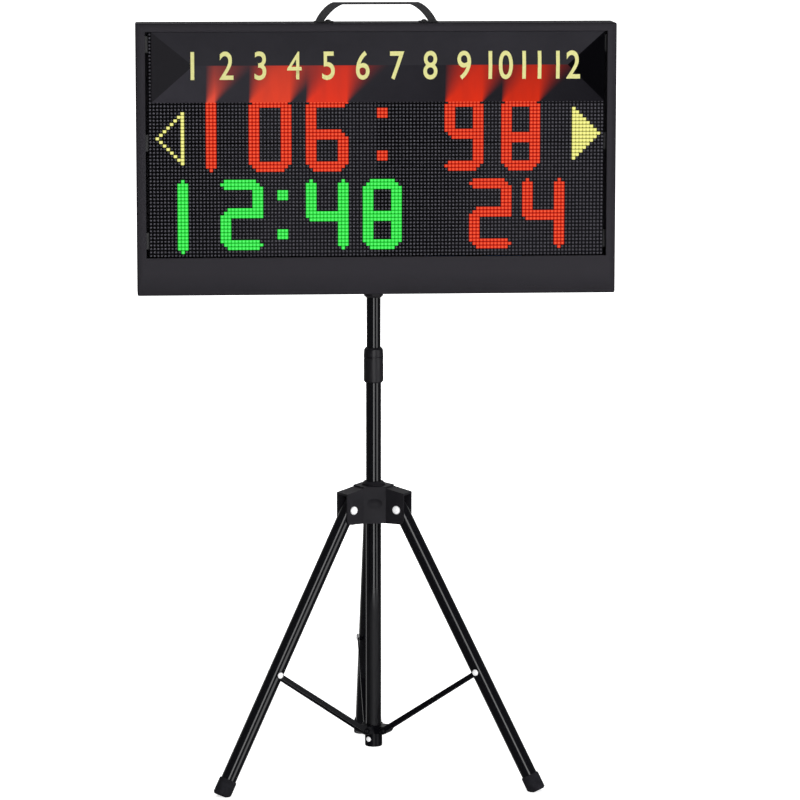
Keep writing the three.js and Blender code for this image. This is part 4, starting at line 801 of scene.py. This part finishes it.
unlit_finish = lens_finish("lamp_lens", (0.062, 0.060, 0.073), (0.084, 0.081, 0.098), roughness=0.35)
dark = {(c, r) for c in range(FACE_COLUMNS) for r in range(FACE_ROWS)} - red - green - yellow
half_columns, half_rows = FACE_COLUMNS // 2, FACE_ROWS // 2
for corner in CORNERS:
    mine = {(c, r) for c, r in dark
            if (r < half_rows) == corner.startswith("top") and (c < half_columns) == corner.endswith("left")}
    lamps = lamp_mesh(f"lamps_{corner}", mine, LAMP_HALF)
    lamps.data.materials.append(unlit_finish)
    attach(lamps, "panel")
for name, (lit, core, rim, spill) in LIT.items():
    lenses = lamp_mesh(f"lit_lamps_{name}", lit, LIT_HALF, LIT_DROP)
    lenses.data.materials.append(lit_finish(f"lamp_{name}", core, rim))
    edges = spill_mesh(f"lit_louvre_{name}", lit)
    edges.data.materials.append(spill_finish(f"spill_{name}", spill))
    for piece in (lenses, edges):
        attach(piece, "panel")
print("unlit lamps:", len(dark))

# %% [markdown]
# ## The header cover
# A ridged strip lies over the top rows of lamps. It is satin plastic. The glow of the lit figures just below
# it is painted light: red streaks that its lower slope emits. Each streak is sharp at the lamps and grows
# wider, softer and further to the right as it climbs to the ridge. Its plastic also carries painted shade:
# the two slopes differ in tone, the lower one darkens to the right, and the hips are darker, the right one
# nearly black. All of it is part of the finish, placed in metres, so that it holds from every side.

# %% Header finish
header_low, header_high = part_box("header_cover")
CREASE_Z = header_high.z - 46.4 * MM
CREASE_BLUR = 0.4 * MM
# Painted shade: the slopes and hips get tones for how light falls on them, and the right hip is nearly
# black.
UPPER_SLOPE_SHADE = (0.0312, 0.0300, 0.0358)
LOWER_SLOPE_LIT_LEFT, LOWER_SLOPE_SHADED_RIGHT = (0.0390, 0.0371, 0.0452), (0.0108, 0.0102, 0.0132)
LEFT_HIP_SHADE, RIGHT_HIP_SHADE = (0.0196, 0.0188, 0.0218), (0.0012, 0.0011, 0.0018)
# How far a face is turned sideways, from 0 to 1, where a hip begins and has begun, and where a streak ends
HIP_FROM, HIP_TO = 0.06, 0.10
STREAK_TURNS = (0.03, 0.06)
# The streaks' colours, one for each figure of the score
STREAK_COLOURS = ((0.82, 0.082, 0.045), (0.79, 0.056, 0.022), (0.79, 0.038, 0.014), (0.74, 0.028, 0.006),
                  (0.645, 0.024, 0.004))
STREAK_INSET = 2.6 * MM
STREAK_FAN = 1.15
STREAK_SHARP = 3 * MM
STREAK_AT_CREASE = 0.76
BLACK = (0.0, 0.0, 0.0)


def reach_past(material, x, edge, width):
    """0 up to an edge, and from there to 1 over a width, fast at first and then slowly."""
    share = calculate(material, "DIVIDE", calculate(material, "SUBTRACT", x, edge), width, clamp=True)
    return multiply(material, share, calculate(material, "SUBTRACT", 2, share))


def streak(material, x, width, column, wide):
    """1 above the columns of a figure, with ends that are as wide as the width given."""
    left = face_centre.x + (column - FACE_COLUMNS / 2) * LAMP_PITCH
    end = left + wide * LAMP_PITCH - STREAK_INSET
    return calculate(material, "SUBTRACT", reach_past(material, x, left, width),
                     reach_past(material, x, end, width))


def header_skin(material, where, axes, below, sideways):
    """The plastic's colour with painted shade: two slopes of different tone, the lower one darkening to the
    right, and two darker hips.
    """
    across = spread(material, axes["X"], 0, 1, header_low.x, header_high.x)
    lower = mix_colours(material, across, LOWER_SLOPE_LIT_LEFT, LOWER_SLOPE_SHADED_RIGHT)
    mottled_slope_shade = vector_step(material, "SCALE", mix_colours(material, below, UPPER_SLOPE_SHADE, lower))
    slow = spread(material, noise(material, where, scale=14), 0.9, 1.08)
    join(material, slow, mottled_slope_shade.inputs["Scale"])
    right_hip = spread(material, sideways, 0, 1, HIP_FROM, HIP_TO)
    left_hip = spread(material, sideways, 1, 0, -HIP_TO, -HIP_FROM)
    shaded = mix_colours(material, right_hip, mottled_slope_shade.outputs[0], RIGHT_HIP_SHADE)
    return mix_colours(material, left_hip, shaded, LEFT_HIP_SHADE)


def header_glow(material, axes, below, sideways):
    """The painted glow of the streaks, on the lower slope and not on the right hip."""
    climb = calculate(material, "SUBTRACT", axes["Z"], header_low.z)
    width = calculate(material, "MULTIPLY_ADD", climb, STREAK_FAN, STREAK_SHARP)
    fade = spread(material, axes["Z"], 1, STREAK_AT_CREASE, header_low.z, CREASE_Z)
    drawn_out = place(material, stretch=(1, 1, 0.2))
    uneven = spread(material, noise(material, drawn_out, scale=60, detail=2), 0.86, 1.0)
    facing = spread(material, sideways, 1, 0, *STREAK_TURNS)
    shown = multiply(material, below, fade, uneven, facing)
    glow = BLACK
    for (_, column, wide), colour in zip(SCORE_FIGURES, STREAK_COLOURS):
        part = multiply(material, streak(material, axes["X"], width, column, wide), shown)
        glow = mix_colours(material, part, glow, colour)
    return glow


def header_finish():
    material, shader = new_material("header_skin", roughness=0.5, specular=0.015)
    where = place(material)
    axes = axes_of(material, where)
    surface = add_node(material, "ShaderNodeNewGeometry")
    own = add_node(material, "ShaderNodeVectorTransform", vector_type="NORMAL", convert_from="WORLD",
                   convert_to="OBJECT")
    join(material, surface.outputs["True Normal"], own.inputs[0])
    sideways = axes_of(material, own.outputs[0])["X"]
    below = spread(material, axes["Z"], 1, 0, CREASE_Z - CREASE_BLUR, CREASE_Z + CREASE_BLUR)
    # The red streaks are painted light: the plastic itself emits them.
    glow = header_glow(material, axes, below, sideways)
    emit(material, shader, glow)
    redness = add_node(material, "ShaderNodeSeparateColor")
    join(material, glow, redness.inputs[0])
    drowned = spread(material, redness.outputs[0], 0, 0.85, start=0, end=0.75)
    skin = header_skin(material, where, axes, below, sideways)
    join(material, mix_colours(material, drowned, skin, BLACK), shader.inputs["Base Color"])
    bump(material, shader, noise(material, where, scale=1200, detail=2), 0.02 * MM, strength=0.4)
    return material


dress("header_cover", header_finish(), 0.08 * MM)
print("header from", round(header_low.z, 4), "to", round(header_high.z, 4))

# %% [markdown]
# ## Plain numerals on the header
# The strip carries a row of plain numerals in pale yellow, printed on the plastic. Blender's own text object
# makes them, and they are then laid on the two slopes: the mesh is cut along the ridge, and each point
# takes its depth from the slope under it.

# %% Header numerals
HEADER_EDGE = 2.2 * MM
HEADER_RISE = 7.5 * MM
NUMERAL_TALL = 39 * MM
# The height of a numeral as a share of the size of its font, and how much the numerals are narrowed
TALL_SHARE = 0.7
NUMERAL_SHARE = 0.78
NUMERAL_BASE_Z = face_centre.z + 90 * MM
NUMERAL_STEP = 47.5 * MM
NUMERAL_SHIFT = 3 * MM
NUMERAL_COUNT = 12
# How much the strokes are fattened, as a share of the size. A four keeps thinner ones, or its small
# opening would fill up.
STROKE_GAIN, STROKE_GAIN_OF_FOUR = 0.009, 0.001
ARC_STEPS = 6
JOIN_REACH = 0.001 * MM
INK_RISE = 0.2 * MM


def header_y(z):
    """The depth of the header's surface at a height, between the hips."""
    edge_y = header_high.y - HEADER_EDGE
    if z < CREASE_Z:
        share = (z - header_low.z) / (CREASE_Z - header_low.z)
    else:
        share = (header_high.z - z) / (header_high.z - CREASE_Z)
    return edge_y - HEADER_RISE * share


def text_mesh(name, words, size):
    curve = bpy.data.curves.new(name, "FONT")
    curve.body = words
    curve.align_x = "CENTER"
    curve.size = size
    curve.resolution_u = ARC_STEPS
    curve.offset = size * (STROKE_GAIN_OF_FOUR if words == "4" else STROKE_GAIN)
    holder = bpy.data.objects.new(name, curve)
    bpy.context.scene.collection.objects.link(holder)
    bpy.context.view_layer.update()
    mesh = bpy.data.meshes.new_from_object(holder.evaluated_get(bpy.context.evaluated_depsgraph_get()))
    bpy.data.objects.remove(holder)
    return mesh


def header_numerals():
    whole = bmesh.new()
    upright = Matrix.Rotation(math.pi / 2, 4, "X") @ Matrix.Diagonal((NUMERAL_SHARE, 1, 1, 1))
    for i in range(NUMERAL_COUNT):
        mesh = text_mesh(f"numeral_{i}", str(i + 1), NUMERAL_TALL / TALL_SHARE)
        x = face_centre.x + (i - (NUMERAL_COUNT - 1) / 2) * NUMERAL_STEP + NUMERAL_SHIFT
        mesh.transform(Matrix.Translation((x, 0, NUMERAL_BASE_Z)) @ upright)
        whole.from_mesh(mesh)
    bmesh.ops.remove_doubles(whole, verts=whole.verts, dist=JOIN_REACH)
    bmesh.ops.bisect_plane(whole, geom=whole.verts[:] + whole.edges[:] + whole.faces[:],
                           plane_co=(0, 0, CREASE_Z), plane_no=(0, 0, 1))
    for vertex in whole.verts:
        vertex.co.y = header_y(vertex.co.z) - INK_RISE
    mesh = bpy.data.meshes.new("header_numerals")
    whole.to_mesh(mesh)
    piece = bpy.data.objects.new("header_numerals", mesh)
    bpy.context.scene.collection.objects.link(piece)
    return piece


def printed_ink():
    material, shader = new_material("numeral_ink", roughness=0.45, specular=0.2)
    where = place(material)
    worn = spread(material, noise(material, where, scale=300, detail=4), 0, 1)
    ink = mix_colours(material, worn, (0.80, 0.78, 0.31), (0.86, 0.84, 0.36))
    join(material, ink, shader.inputs["Base Color"])
    bump(material, shader, noise(material, where, scale=1500, detail=2), 0.01 * MM, strength=0.4)
    return material


numerals = header_numerals()
numerals.data.materials.append(printed_ink())
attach(numerals, "panel")
print("numerals:", NUMERAL_COUNT)
